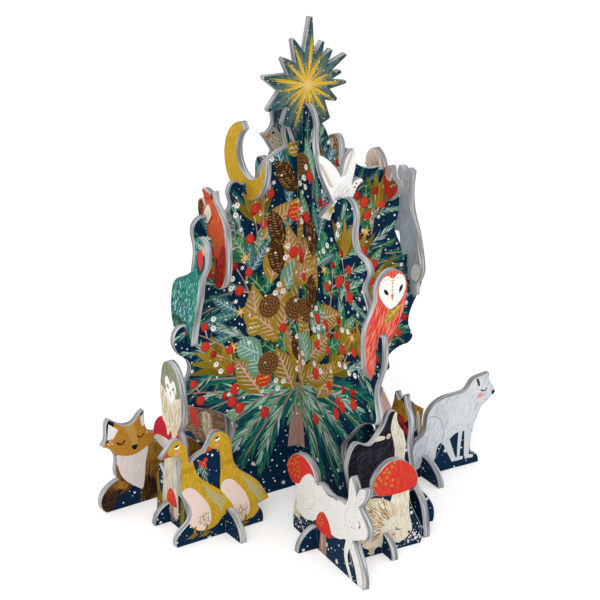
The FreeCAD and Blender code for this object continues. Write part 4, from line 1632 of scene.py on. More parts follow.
@dataclass
class SnowyOwl(Picture):
    """A white owl that perches on a red toadstool among ferns and a smaller toadstool."""

    span: Span = (-23, 36, 0, 143)

    def paint(self) -> None:
        """Draw the owl, its perch and the ferns."""
        pen = self.pen
        pen.snow(pen.edge, 7, 1.5)
        stem = [(-6, 60), (-5, 44), (-10, 20), (-8, 6), (14, 6), (17, 30), (16, 60), (20, 66), (-8, 66)]
        pen.patch(Ink.SAND, stem)
        grain = [(-5, 60), (-7, 20), (10, 8), (15, 30), (14, 60)]
        pen.coat((Ink.CREAM, Ink.STONE), grain, 268, 14, 1.1, 2.4)
        pen.patch(Ink.STONE, [(-24, 66), (0, 60), (28, 64), (16, 76), (-12, 78)])
        for turn in np.linspace(200, 340, 13):
            pen.stamp(Ink.CREAM, Stencil.HAIR, [(3, 78)], turn, 17, 1.1)
        cap = [(-24, 67), (-15, 72), (3, 74), (22, 70), (29, 65), (26, 80), (18, 92), (4, 97), (-12, 92)]
        pen.patch(Ink.CRIMSON, cap)
        fern = (Ink.OLIVE, Ink.OLIVE_GOLD, Ink.OLIVE)
        ferns = (((-11, 2), 102, 48), ((20, 2), 76, 34), ((27, 2), 62, 24), ((-17, 2), 112, 34))
        for foot, turn, length in ferns:
            pen.fir(foot, turn, length, 11, 0.05, fern, 2.0, Ink.OLIVE)
        pen.toadstool((4, 2), 30, 17, 2)
        pen.coat((Ink.NAVY, Ink.MIDNIGHT), [(-22, 0), (36, 0), (34, 6), (8, 9), (-20, 7)], 80, 4, 1.2, 2)
        body = [
            (-6, 92), (-9, 114), (-6, 130), (0, 141), (8, 144), (17, 141), (25, 131), (28, 114),
            (26, 98), (18, 84), (12, 76), (8, 84), (3, 78), (0, 86),
        ]
        hairs = (Ink.SNOW, Ink.SAND, Ink.STONE, Ink.SAND, Ink.SAND_GOLD)
        pen.fur(Ink.CREAM, hairs, body, 262, 10, 0.9, 2.1, 4)
        hood = [
            (-8, 124), (-5, 133), (0, 141), (8, 145), (17, 142), (25, 133), (27, 122), (22, 116),
            (9, 114), (-2, 118),
        ]
        pen.fur(Ink.MOSS_GREY, (Ink.STONE, Ink.MOSS_GREY, Ink.MOSS_GREY), hood, 262, 7, 0.6, 2.4)
        ruff = [(-7, 121), (0, 110), (9, 104), (20, 110), (26, 119), (12, 116)]
        pen.coat((Ink.SNOW, Ink.CREAM), ruff, 262, 7, 1.2, 1.9)
        face = [
            (10, 125), (6, 130), (2, 128), (1, 121), (5, 114), (10, 109), (15, 113), (19, 120),
            (18, 127), (14, 129),
        ]
        pen.patch(Ink.SNOW, face)
        pen.dot(Ink.BLUSH, [(2.6, 121)], 2.2, 4.4, -16)
        pen.dot(Ink.BLUSH, [(17, 119)], 2.2, 4.4, 16)
        pen.stamp(Ink.BLACK, Stencil.LEAF, [(4.2, 123.4), (13.0, 119.8)], np.array([-52.0, 52.0]), 5.0, 1.8)
        pen.patch(Ink.SLATE, [(8.8, 118), (11.0, 118), (10, 113)], 1)


@dataclass
class Ducks(Picture):
    """Two golden ducks with pale bellies; the one behind holds a sprig with berries."""

    span: Span = (-60, 38, 0, 93)
    behind: tuple[float, float] = (0.0, 0.0)
    before: tuple[float, float] = (-36.0, 2.0)

    def paint(self) -> None:
        """Draw the sky, the ducks and their feet."""
        pen = self.pen
        pen.snow(pen.edge, 8, 1.9)
        self.paint_duck(np.array(self.behind))
        pen.fir((-23, 70), -82, 26, 7, 0.03, FROSTED, 1.7)
        pen.fir((-23, 68), 238, 16, 6, 0.05, FROSTED, 1.7)
        for spot in ((-25, 68), (-21.5, 65), (-20.5, 69.5)):
            pen.berry(spot, 4.2)
        self.paint_duck(np.array(self.before))

    def paint_duck(self, move: np.ndarray) -> None:
        """Draw one duck.

        Args:
            move: How far right of the hind duck's place and above it this one stands.
        """
        pen = self.pen
        body = [
            (-16, 88), (-9, 92), (-3, 89), (3, 80), (4, 70), (8, 57), (16, 48), (27, 39), (34, 30),
            (40, 19), (30, 14), (24, 8), (12, 6), (2, 12), (-5, 26), (-8, 42), (-7, 60), (-8, 74),
            (-14, 78), (-18, 82),
        ]
        pen.patch(Ink.RUST, np.array([(-25, 75.5), (-18, 85), (-12, 80), (-15, 77)]) + move, 2)
        shape = pen.patch(Ink.MUSTARD, np.array(body) + move, 4)
        pen.coat((Ink.OCHRE, Ink.GOLD, Ink.MUSTARD), shape, 285, 6, 0.8, 2.6, 1)
        pen.patch(Ink.DULL_GOLD, np.array([(-7.4, 64.5), (4.7, 65.5), (5.8, 61), (-7.2, 60)]) + move, 1)
        belly = [(-6, 46), (2, 47), (10, 39), (18, 26), (19, 13), (12, 7), (3, 12), (-4, 24), (-7, 36)]
        pen.patch(Ink.PETAL, np.array(belly) + move)
        pen.coat(Ink.TAN, np.array([(8, 20), (17, 23), (18, 12), (11, 9)]) + move, 80, 3, 0.8, 1.9)
        for step in range(5):
            rib = [
                (12 + 2 * step, 47 - 4 * step), (20 + 2 * step, 39 - 4 * step),
                (33 - step, 29 - 3 * step),
            ]
            pen.line(Ink.LICHEN, np.array(rib) + move, 0.7, 1.1)
        pen.dot(Ink.SNOW, [np.array((-9.5, 85.0)) + move], 4.8, 3.4, 20)
        pen.stamp(Ink.BLACK, Stencil.LEAF, [np.array((-12.0, 85.0)) + move], 20, 5.0, 1.7)
        pen.dot(Ink.SALMON, [np.array((-9.5, 79.8)) + move], 4.6, 3.0)
        for foot in ((5, 9), (16, 8)):
            spot = np.array(foot) + move
            pen.line(Ink.BRONZE, [spot + (0, 3), spot + (-2, -4)], 1.9, 1.7)
            pen.patch(Ink.BRONZE, spot + np.array([(-2, -2.4), (-9, -6), (-2, -7), (3, -4)]), 1)


@dataclass
class Hare(Picture):
    """A white hare that bounds over toadstools in the snow."""

    span: Span = (-48, 79, 0, 86)

    def paint(self) -> None:
        """Draw the night, the big toadstool, the hare and the small toadstool."""
        pen = self.pen
        pen.snow(pen.edge, 8, 2.0)
        pen.patch(Ink.SAND, [(-38, 46), (-26, 46), (-26, 12), (-37, 12)], 1)
        pen.coat((Ink.CREAM, Ink.STONE), [(-38, 46), (-26, 46), (-26, 14), (-36, 14)], 268, 9, 0.8, 2.2, 1)
        cap = [
            (-2, 54), (-5, 64), (-15, 71), (-30, 70), (-44, 61), (-49, 50), (-44, 41), (-28, 40),
            (-12, 44),
        ]
        pen.spots(pen.patch(Ink.RED, cap), 2.4)
        pen.snow(np.array([(-40, 4), (-8, 4), (-8, 24), (-38, 30)]), 2.6, 1.0)
        self.paint_body()
        pen.toadstool((12, 0), 37, 25, 1)

    def paint_body(self) -> None:
        """Draw the stretched body, the long ears and the face."""
        pen = self.pen
        body = [
            (-31, 26), (-36, 32), (-38, 39), (-32, 42), (-27, 44), (-20, 53), (-10, 60), (-2, 59),
            (4, 56), (10, 60), (18, 55), (24, 59), (32, 56), (38, 61), (44, 59), (50, 60), (58, 67),
            (68, 69), (77, 62), (83, 52), (81, 42), (70, 38), (59, 33), (65, 28), (74, 14), (79, -2),
            (68, -2), (62, 12), (54, 24), (47, 30), (38, 26), (26, 24), (10, 29), (-4, 22), (-18, 17),
            (-32, 20),
        ]
        pen.fur(Ink.WHITE, (Ink.SNOW, Ink.PALE_CLOUD, Ink.SNOW), body, 190, 7, 0.7, 3.0, 4)
        pen.line(Ink.WHITE, [(52, 32), (48, 16), (58, -2)], 7, 3.6)
        pen.line(Ink.STONE, [(58, 34), (54, 24), (58, 12)], 0.5, 0.7)
        for ear in (
            [(47, 58), (49, 68), (52, 88), (61, 82), (62, 72), (58, 60)],
            [(57, 62), (60, 73), (69, 85), (80, 88), (77, 77), (67, 64)],
        ):
            pen.fur(Ink.WHITE, (Ink.PETAL, Ink.CLOUD), ear, (54.0, 56.0), 7, 0.9, 2.6)
        pen.coat(Ink.PALE_CLOUD, [(0, 54), (30, 52), (36, 40), (20, 34), (0, 40)], 200, 6, 0.8, 3.8)
        for leg in ([(-18, 40), (-6, 30), (-20, 20), (-34, 26)], [(-6, 30), (6, 34), (-2, 24), (-12, 20)]):
            pen.coat((Ink.CLOUD, Ink.PALE_CLOUD), leg, 240, 4, 0.6, 3.2)
        pen.line(Ink.CLOUD_DARK, [(-10, 54), (-2, 44), (-6, 32), (-16, 26)], 0.6, 0.5)
        pen.line(Ink.CLOUD_DARK, [(52, 60), (46, 50), (48, 42), (54, 36)], 0.6, 0.5)
        pen.shut_eye((67, 52), 6.0, 96)
        pen.dot(Ink.BLACK, [(78.4, 44.6)], 2.2, 2.6)
        pen.dot(Ink.BROWN, [(57, 49), (60, 46), (56, 45), (53, 48)], 1.0, 1.0)


@dataclass
class Hedgehog(Picture):
    """A golden hedgehog under a red toadstool."""

    span: Span = (-30, 34, 0, 77)

    def paint(self) -> None:
        """Draw the night, the toadstool and the hedgehog."""
        pen = self.pen
        pen.snow(pen.edge, 5.5, 1.5)
        pen.snow(np.array([(8, 2), (33, 2), (33, 16), (10, 12)]), 2.2, 0.9)
        stem = [(6, 50), (19, 54), (21, 30), (24, 14), (16, 9), (6, 12), (2, 30)]
        pen.fur(Ink.CREAM, (Ink.SAND, Ink.WHITE), stem, 268, 9, 0.8, 2.2)
        back = [
            (-29, 28), (-24, 42), (-15, 49), (-4, 47), (6, 40), (8, 30), (2, 18), (-8, 11), (-20, 12),
            (-28, 18),
        ]
        pen.fur(Ink.SAND, (Ink.SAND_GOLD, Ink.CREAM, Ink.TAN, Ink.WHITE), back, (8.0, 18.0), 8, 1.0, 1.6)
        front = [
            (0, 26), (8, 30), (16, 22), (22, 15), (20, 9), (12, 6), (2, 8), (-14, 6), (-22, 12),
            (-8, 14),
        ]
        pen.patch(Ink.CREAM, front)
        pen.coat((Ink.WHITE, Ink.SAND), [(2, 25), (8, 28), (18, 14), (14, 8), (0, 10)], 300, 4, 0.7, 2)
        pen.shut_eye((11, 18), 5, -28)
        pen.dot(Ink.BLACK, [(21.4, 12.6)], 2.6, 2.2)
        pen.dot(Ink.SALMON, [(7, 14)], 3.6, 2.6)
        pen.patch(Ink.SAND, [(-16, 7), (-10, 8), (-11, 1), (-15, 1)], 1)
        pen.patch(Ink.SAND, [(2, 8), (8, 8), (7, 2), (3, 2)], 1)
        cap = [(-14, 56), (-9, 70), (2, 78), (14, 78), (25, 68), (29, 57), (24, 50), (8, 48), (-8, 50)]
        ring = pen.patch(Ink.RED, cap)
        pen.coat((Ink.SCARLET, Ink.RED), cap, (8.0, 40.0), 9, 2.2, 3.0)
        pen.spots(ring, 2.6)


@dataclass
class Badger(Picture):
    """A black badger with a pale stripe, in fine pale strokes."""

    span: Span = (-62, 19, 0, 107)
    ground: Ink = Ink.BLACK

    def paint(self) -> None:
        """Draw the badger before the night."""
        pen = self.pen
        night = [
            (-3, 120), (-3, 88), (2, 60), (14, 30), (22, 10), (22, -4), (10, -4), (6, 20), (-6, 40),
            (-14, 70),
        ]
        pen.coat((Ink.SLATE_DARK, Ink.SOOT, Ink.BLACK), pen.edge, (-20.0, 110.0), 7, 0.8, 2.2, 1)
        pen.patch(Ink.NAVY, night)
        pen.snow(np.array(night), 6, 1.3)
        stripe = [
            (-20, 106), (-14, 98), (-10, 84), (-11, 62), (-12, 44), (-8, 30), (-15, 34), (-20, 52),
            (-20, 74), (-24, 92),
        ]
        pen.fur(Ink.CREAM, (Ink.STONE, Ink.WHITE), stripe, 272, 8, 0.6, 2.2)
        pen.patch(Ink.CREAM, [(-46, 86), (-38, 88), (-30, 87), (-30, 84), (-40, 84)])
        pen.dot(Ink.PETAL, [(-26, 86)], 4.6, 3.6, 60)
        pen.dot(Ink.ROSE, [(-26, 86)], 2.4, 1.8, 60)
        pen.shut_eye((-22, 97), 4.6, 70, Ink.CREAM)
        flank = [(-56, 70), (-40, 82), (-24, 74), (-26, 40), (-46, 40)]
        pen.coat((Ink.SLATE_DARK, Ink.SOOT), flank, 220, 9, 1.0, 2.2)


@dataclass
class Cub(Picture):
    """A fox cub with black-tipped ears and a spray of berries."""

    span: Span = (-41, 23, 0, 111)

    def paint(self) -> None:
        """Draw the night and the cub."""
        pen = self.pen
        pen.snow(pen.edge, 8, 1.5)
        body = [
            (-38, 0), (-38, 30), (-33, 58), (-30, 76), (-20, 78), (-8, 72), (-8, 50), (-14, 30),
            (-12, -2),
        ]
        pen.fur(Ink.SLATE_DARK, (Ink.SOOT, Ink.BLACK, Ink.SLATE_DARK), body, 266, 9, 1.0, 2.2)
        head = [
            (-30, 92), (-30, 99), (-27, 104), (-26, 110), (-21, 105), (-17, 106), (-12, 112), (-8, 102),
            (-4, 96), (-8, 89), (-18, 85),
        ]
        pen.fur(Ink.AMBER, (Ink.AMBER_DARK, Ink.MUSTARD), head, (-18.0, 90.0), 4, 0.8, 2, 3)
        for tip in ([(-28, 104), (-26, 111), (-22, 105)], [(-17, 106), (-12.6, 112), (-10, 104)]):
            pen.patch(Ink.BLACK, tip, 1)
        pen.shut_eye((-24, 98), 4.4, 10)
        pen.shut_eye((-12, 98), 4.2, -6)
        pen.dot(Ink.BLACK, [(-18, 91)], 3.0, 2.2)
        for spot in ((-22, 86), (-14, 88), (-9, 82), (-16, 79), (-23, 78), (-11, 73), (-18, 71)):
            pen.berry(spot, 8.4)


@dataclass
class ArcticFox(Picture):
    """A white fox that stands on dark ground with its eyes shut."""

    span: Span = (-15, 73, 0, 84)
    ground: Ink = Ink.NAVY

    def paint(self) -> None:
        """Draw the night, the legs, the body and the head."""
        pen = self.pen
        pen.snow(pen.edge, 8, 1.8)
        for leg, foot, wide in (
            ([(45.5, 36), (45, 20), (44.5, 9)], [(43, 8.6), (52, 7.6)], 8.0),
            ([(37.5, 36), (36.4, 22), (36, 10)], [(35, 8.8), (41, 8.2)], 4.4),
            ([(21, 32), (26, 20), (31, 9)], [(29, 9), (37, 8.2)], 8.0),
        ):
            pen.line(Ink.CLOUD, leg, wide, wide * 0.6)
            pen.line(Ink.CLOUD, foot, 3.8, 3.0)
        body = [
            (-16, 12), (-12, 28), (-9, 38), (0, 48), (2, 58), (8, 67), (20, 72), (34, 73), (42, 78),
            (50, 85), (66, 88), (74, 76), (76, 62), (70, 58), (62, 57.5), (54, 46), (49.5, 34),
            (41, 34), (33, 34), (28, 31), (22, 27), (17, 28), (13, 24), (11, 14), (6, 11), (-2, 15),
            (-5, 9), (-12, 9),
        ]
        hairs = (Ink.PALE_CLOUD, Ink.CLOUD, Ink.PALE_CLOUD, Ink.CLOUD_DARK)
        pen.fur(Ink.CLOUD, hairs, body, 240, 8, 1.0, 2.2, 4)
        haunch = [(2, 54), (8, 60), (20, 62), (26, 54), (20, 50), (8, 50)]
        pen.coat((Ink.CLOUD_DARK, Ink.CLOUD), haunch, 200, 7, 0.8, 2.2)
        brush = [(-12, 14), (-8, 36), (2, 42), (4, 30), (-2, 16)]
        pen.coat((Ink.CLOUD_DARK, Ink.CLOUD), brush, 236, 8, 0.8, 2.0)
        cheek = [(44, 70), (56, 66), (60, 76), (54, 82), (46, 78)]
        pen.coat((Ink.WHITE, Ink.PALE_CLOUD), cheek, 210, 5, 0.8, 2.0)
        chest = [(20, 64), (44, 68), (52, 58), (48, 38), (28, 38)]
        pen.coat((Ink.PALE_CLOUD, Ink.CLOUD), chest, 246, 8, 1.0, 1.8)
        pen.line(Ink.SLATE, [(3, 55), (12, 54), (19, 43), (18.6, 29), (12, 14)], 0.7, 0.5)
        pen.patch(Ink.SLATE_DARK, [(52.0, 81), (54.0, 81), (56.4, 75), (54.6, 73.6)], 2)
        pen.patch(Ink.SLATE_DARK, [(63, 84.5), (66.5, 84.5), (67, 79)], 1)
        pen.shut_eye((60.6, 69.4), 6.4, 4)
        pen.dot(Ink.BLACK, [(71.6, 64.8)], 5.4, 4.6)
        pen.line(Ink.SLATE, [(70, 61), (65, 59), (61, 59.6)], 0.6, 0.4)
        pen.dot(Ink.BLUSH_DEEP, [(57, 64.4)], 6.0, 4.8)


@dataclass
class Stoat(Picture):
    """A stoat and a striped bird on a snowy bank."""

    span: Span = (-24, 34, 0, 82)

    def paint(self) -> None:
        """Draw the bank, the bird and the stoat."""
        pen = self.pen
        pen.snow(pen.edge, 6, 1.4)
        bird = [(-24, 40), (-24, 62), (-20, 83), (-13, 68), (-6, 56), (0, 44), (-8, 32), (-20, 28)]
        pen.patch(Ink.PETAL, bird)
        for turn in np.linspace(-76, -40, 7):
            pen.stamp(Ink.ROSE, Stencil.HAIR, [(-22, 80)], turn, 38, 1.1)
        stoat = [
            (21, 34), (20, 44), (15, 61), (22, 56), (30, 51), (28, 40), (29, 28), (34, 12), (30, 4),
            (24, 10),
        ]
        pen.fur(Ink.AMBER, (Ink.OCHRE, Ink.FOX_BROWN), stoat, 270, 7, 0.9, 2, 3)
        pen.dot(Ink.BLACK, [(15.6, 60)], 2.6, 2.4)
        pen.dot(Ink.BLACK, [(22.5, 53)], 1.7, 1.7)
        pen.patch(Ink.CREAM, [(20, 50), (23, 48), (25, 30), (24, 18), (22, 26), (21, 40)])


@dataclass
class Log(Picture):
    """A hollow log with pale split wood and red toadstools."""

    span: Span = (-31, 47, 0, 76)
    ground: Ink = Ink.TRUNK_BROWN

    def paint(self) -> None:
        """Draw the log over dark ground."""
        pen = self.pen
        pen.coat((Ink.BROWN, Ink.TAN, Ink.TWIG), pen.edge, 200, 9, 1.0, 2.4, 1)
        night = [(-32, -2), (-30, 24), (-16, 34), (0, 30), (14, 34), (30, 24), (40, 12), (48, -2)]
        pen.patch(Ink.NAVY, night)
        pen.snow(np.array([(-28, 2), (-26, 22), (0, 27), (28, 20), (42, 2)]), 6, 1.3)
        split = [(6, 60), (20, 64), (24, 50), (16, 38), (8, 44)]
        pen.fur(Ink.SAND, (Ink.CREAM, Ink.TAN), split, 280, 7, 0.9, 1.9, 2)
        pen.dot(Ink.SAND, [(-24, 44)], 9, 13, 12)
        pen.dot(Ink.TAN, [(-24, 44)], 5, 8, 12)
        for centre, turn in (((-8, 50), 118), ((34, 46), 122)):
            pen.stamp(Ink.RED, Stencil.DROP, [np.array(centre) - headed(turn) * 10], turn, 22, 13)
            pen.stamp(Ink.DARK_RED, Stencil.HAIR, [np.array(centre) - headed(turn) * 8], turn, 15, 1.2)
        for foot, turn in (((10, 8), 70), ((-14, 4), 110), ((26, 4), 84)):
            self.shoot(foot, turn)

    def shoot(self, foot: Spot, turn: float) -> None:
        """Draw a golden shoot of three leaves from a foot in a direction."""
        for swing in (-24, 24, 0):
            self.pen.leaf(Ink.OCHRE, Ink.OLIVE, foot, turn + swing, 18, 5, 0.0, 3)


@dataclass
class PrintedBoard:
    """The finished mesh of one board: two printed faces, pressed rims and grey cut edges."""

    board: Board
    slot: str
    rack: InkRack
    picture: Picture
    rim_in: float = 0.5
    rim_deep: float = 0.5
    round_in: float = 0.7
    round_deep: float = 0.3
    snap: float = 0.004

    def cut(self, corners: np.ndarray, edges: np.ndarray, rings: list[list[int]]) -> Cut:
        """Cut the plane into triangles along edges and rings.

        Args:
            corners: Points in the board's plane.
            edges: Pairs of point numbers.
            rings: Closed rings of point numbers, counter-clockwise.

        Returns:
            Points, triangles, and for each point the corners and for each triangle the rings it is
            said to belong to.
        """
        spots = [Vector(corner) for corner in corners.tolist()]
        found = delaunay_2d_cdt(spots, edges.tolist(), rings, 0, self.snap, True)
        return np.array([tuple(v) for v in found[0]]), np.array(found[2], np.int64), found[3], found[5]

    def lay_out(self, face: np.ndarray, pen: Pen) -> tuple[np.ndarray, np.ndarray, np.ndarray]:
        """Cut the face along the edges of every shape that lies on it, hidden edges too.

        Args:
            face: Outline of the face.
            pen: The pen that drew the shapes.

        Returns:
            Points, triangles, and each triangle's topmost shape, with -1 for the ground.
        """
        rings = [face] + [counter_clockwise(shape) for shape in pen.shapes]
        starts = np.concatenate([[0], np.cumsum([len(ring) for ring in rings])])
        corners = np.concatenate(rings)
        members = [list(range(first, last)) for first, last in zip(starts[:-1], starts[1:])]
        points, triangles, _, found = self.cut(corners, np.zeros((0, 2), np.int64), members)
        claims = [sorted(ids, reverse=True) for ids in found]
        inside = np.array([bool(ids) and ids[-1] == 0 for ids in claims])
        middle = points[triangles].mean(1)
        top = np.zeros(len(triangles), np.int64)
        left, rank = np.nonzero(inside)[0], 0
        while len(left):
            top[left] = [claims[number][rank] for number in left]
            left = left[top[left] > 0]
            left = left[~ring_holds(corners, starts, top[left], middle[left])]
            rank += 1
        return points, triangles[inside], top[inside] - 1

    def triangulate(self, pen: Pen, ink_number: np.ndarray) -> tuple[np.ndarray, ...]:
        """Cut the face along the edges at which the ink that one sees changes.

        Args:
            pen: The pen that drew the shapes.
            ink_number: Ink number of each shape and, last, of the ground.

        Returns:
            Points, triangles, each triangle's ink number, and for each point the number of the
            outline's point that it is, or -1.
        """
        face = self.board.inset(self.rim_in)
        points, triangles, top = self.lay_out(face, pen)
        inks = ink_number[top]
        flat = np.pad(points, ((0, 0), (0, 1))).tolist()
        old = BVHTree.FromPolygons(flat, triangles.tolist(), all_triangles=True)
        edges = straighten(points, seams(triangles, inks), self.snap)
        used, edges = np.unique(edges, return_inverse=True)
        corners = np.concatenate([face, points[used]])
        edges = edges.reshape(-1, 2) + len(face)
        points, triangles, kin, found = self.cut(corners, edges, [list(range(len(face)))])
        triangles = triangles[[bool(ids) for ids in found]]
        base = np.array([min(ids, default=len(corners)) for ids in kin])
        base = np.where(base < len(face), base, -1)
        middle = np.pad(points[triangles].mean(1), ((0, 0), (0, 1)))
        inks = inks[[old.find_nearest(spot)[2] for spot in middle.tolist()]]
        used, triangles = np.unique(triangles, return_inverse=True)
        return points[used], triangles.reshape(-1, 3), inks, base[used]

    def rim(self, points: np.ndarray, triangles: np.ndarray, base: np.ndarray) -> Pair:
        """Follow the face's rim and carry each of its points out to the full outline.

        A point between two corners of the small outline lies as far along the same edge of the full one.

        Args:
            points: Points of the face.
            triangles: Triangles of the face.
            base: The outline's point that each point is, or -1.

        Returns:
            The rim's points in order, and their places on the full outline.
        """
        edges = open_edges(triangles)
        after = np.full(len(points), -1)
        after[edges[:, 0]] = edges[:, 1]
        members = np.unique(edges)
        number = np.full(len(points), -1)
        number[members] = np.arange(len(members))
        start = int(number[int(np.nonzero(base == base[members][base[members] >= 0].min())[0][0])])
        ring = members[ring_order(number[after[members]], start)]
        corner = base[ring]
        passed = np.maximum.accumulate(np.where(corner >= 0, np.arange(len(ring)), 0))
        first = corner[passed]
        small, full = self.board.inset(self.rim_in), self.board.outline
        last = (first + 1) % len(full)
        length = np.linalg.norm(small[last] - small[first], axis=1)
        along = np.linalg.norm(points[ring] - small[first], axis=1) / np.maximum(length, TINY)
        along = np.clip(along, 0, 1)[:, None]
        return ring, full[first] + along * (full[last] - full[first])

    def build(self) -> bpy.types.Object:
        """Make the board's mesh.

        Returns:
            The finished piece, riding on the root.
        """
        pen = self.picture.print_on(self.board)
        inks = list(dict.fromkeys([Ink.BARE, self.picture.ground, *pen.inks]))
        ink_number = np.array([inks.index(ink) for ink in pen.inks] + [1])
        points, triangles, worn, base = self.triangulate(pen, ink_number)
        ring, outer = self.rim(points, triangles, base)
        inner = points[ring]
        middle = inner + (outer - inner) * self.round_in
        thick, shallow = self.board.thickness, self.rim_deep * self.round_deep
        depths = (shallow, self.rim_deep, thick - self.rim_deep, thick - shallow)
        layers = (middle, outer, outer, middle)
        places = [self.board.place(points, 0.0)]
        places += [self.board.place(layer, depth) for layer, depth in zip(layers, depths)]
        places += [self.board.place(points, thick)]
        last = len(points) + len(layers) * len(ring)
        rows = [np.arange(first, first + len(ring)) for first in range(len(points), last, len(ring))]
        rows = [ring, *rows, ring + last]
        walls = [strip(low, high) for low, high in zip(rows[:-1], rows[1:])]
        back = triangles[:, ::-1] + last
        faces = np.concatenate([triangles, *walls, back])
        slots = np.concatenate([worn, np.zeros(len(faces) - 2 * len(worn), np.int64), worn])
        piece = mesh_object(f"printed_{self.board.node}", np.concatenate(places), faces, slots)
        for ink in inks:
            piece.data.materials.append(self.rack.material(ink, self.board.front))
        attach(piece, "root")
        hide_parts(self.board.node)
        return piece


def ring_holds(
    corners: np.ndarray, starts: np.ndarray, number: np.ndarray, spots: np.ndarray
) -> np.ndarray:
    """Tell for each spot whether the ring it is paired with holds it.

    A ring holds a spot if a level ray from the spot to the right crosses the ring's edges an odd
    number of times.

    Args:
        corners: Corners of all rings, ring after ring.
        starts: Where each ring starts among the corners, and where the last one ends.
        number: For each spot the ring to test it with.
        spots: The spots.

    Returns:
        True for each spot that lies in its ring.
    """
    after = np.arange(1, len(corners) + 1)
    after[starts[1:] - 1] = starts[:-1]
    many = np.diff(starts)[number]
    ends = np.cumsum(many)
    edge = np.arange(many.sum()) - np.repeat(ends - many, many) + np.repeat(starts[number], many)
    low, high = corners[edge], corners[after[edge]]
    x, y = np.repeat(spots, many, axis=0).T
    spans = (low[:, 1] > y) != (high[:, 1] > y)
    rise = np.where(spans, high[:, 1] - low[:, 1], 1.0)
    crosses = spans & (x < low[:, 0] + (high[:, 0] - low[:, 0]) * (y - low[:, 1]) / rise)
    return np.bincount(np.repeat(np.arange(len(number)), many), crosses, len(number)) % 2 == 1


def seams(triangles: np.ndarray, inks: np.ndarray) -> np.ndarray:
    """Find the edges between triangles of unlike inks.

    Args:
        triangles: Corner numbers.
        inks: Each triangle's ink number.

    Returns:
        Pairs of corner numbers.
    """
    halves = np.sort(edges_of(triangles), 1)
    owner = np.tile(np.arange(len(triangles)), 3)
    order = np.lexsort((halves[:, 1], halves[:, 0]))
    halves, owner = halves[order], owner[order]
    shared = np.nonzero((halves[1:] == halves[:-1]).all(1))[0]
    return halves[shared[inks[owner[shared]] != inks[owner[shared + 1]]]]


def straighten(points: np.ndarray, edges: np.ndarray, tolerance: float) -> np.ndarray:
    """Drop points that join just two edges in one straight line, and join those edges.

    In each round a point goes only if its turn, drawn by lot, comes before its neighbours', until
    none is left to drop.

    Args:
        points: All points.
        edges: Pairs of point numbers.
        tolerance: How far a point may lie from the line between its neighbours.

    Returns:
        The edges that are left.
    """
    chance = np.random.default_rng(1)
    while True:
        flat = edges.ravel()
        order = np.argsort(flat, kind="stable")
        counts = np.bincount(flat, minlength=len(points))
        spot = np.nonzero(counts == 2)[0]
        first = (np.cumsum(counts) - counts)[spot]
        one, two = order[first], order[first + 1]
        ahead, behind = flat[one ^ 1], flat[two ^ 1]
        line, arm = points[behind] - points[ahead], points[spot] - points[ahead]
        length = np.maximum(np.linalg.norm(line, axis=1), TINY)
        off = np.abs(line[:, 0] * arm[:, 1] - line[:, 1] * arm[:, 0]) / length
        along = (line * arm).sum(1) / length
        straight = (off < tolerance) & (along > 0) & (along < length) & (ahead != behind)
        turn = np.full(len(points), len(points))
        turn[spot[straight]] = chance.permutation(int(straight.sum()))
        go = straight & (turn[spot] < turn[ahead]) & (turn[spot] < turn[behind])
        fresh = np.sort(np.stack([ahead, behind], 1), 1)
        keys, known = fresh @ (len(points), 1), np.sort(edges, 1) @ (len(points), 1)
        single = np.zeros(len(spot), bool)
        single[np.unique(np.where(go, keys, -1), return_index=True)[1]] = True
        go &= single & ~np.isin(keys, known)
        if not go.any():
            return edges
        kept = np.ones(len(edges), bool)
        kept[one[go] // 2] = kept[two[go] // 2] = False
        edges = np.concatenate([edges[kept], fresh[go]])


def counter_clockwise(ring: np.ndarray) -> np.ndarray:
    """Turn a ring round if it runs clockwise, which its area by the cross products tells.

    Args:
        ring: Corners of the ring.

    Returns:
        The corners, counter-clockwise.
    """
    after = np.roll(ring, -1, 0)
    area = (ring[:, 0] * after[:, 1] - ring[:, 1] * after[:, 0]).sum()
    return ring if area > 0 else ring[::-1]


def strip(low: np.ndarray, high: np.ndarray) -> np.ndarray:
    """Join two closed rows of points by two triangles to each step.

    Args:
        low: Point numbers of the row nearer the front.
        high: Point numbers of the row behind it.

    Returns:
        Triangles that face outwards.
    """
    low_next, high_next = np.roll(low, -1), np.roll(high, -1)
    one = np.stack([low, high, low_next], 1)
    two = np.stack([low_next, high, high_next], 1)
    return np.concatenate([one, two])


def mesh_object(
    name: str, places: np.ndarray, triangles: np.ndarray, slots: np.ndarray
) -> bpy.types.Object:
    """Make an object of triangles at the origin.

    Args:
        name: The object's name.
        places: Points in metres.
        triangles: Corner numbers.
        slots: Each triangle's material number.

    Returns:
        The object, linked to the scene.
    """
    mesh = bpy.data.meshes.new(name)
    mesh.vertices.add(len(places))
    mesh.vertices.foreach_set("co", places.astype(np.float32).ravel())
    mesh.loops.add(triangles.size)
    mesh.loops.foreach_set("vertex_index", triangles.astype(np.int32).ravel())
    mesh.polygons.add(len(triangles))
    mesh.polygons.foreach_set("loop_start", np.arange(0, triangles.size, 3, dtype=np.int32))
    mesh.polygons.foreach_set("material_index", slots.astype(np.int32))
    mesh.update(calc_edges=True)
    made = bpy.data.objects.new(name, mesh)
    bpy.context.scene.collection.objects.link(made)
    return made


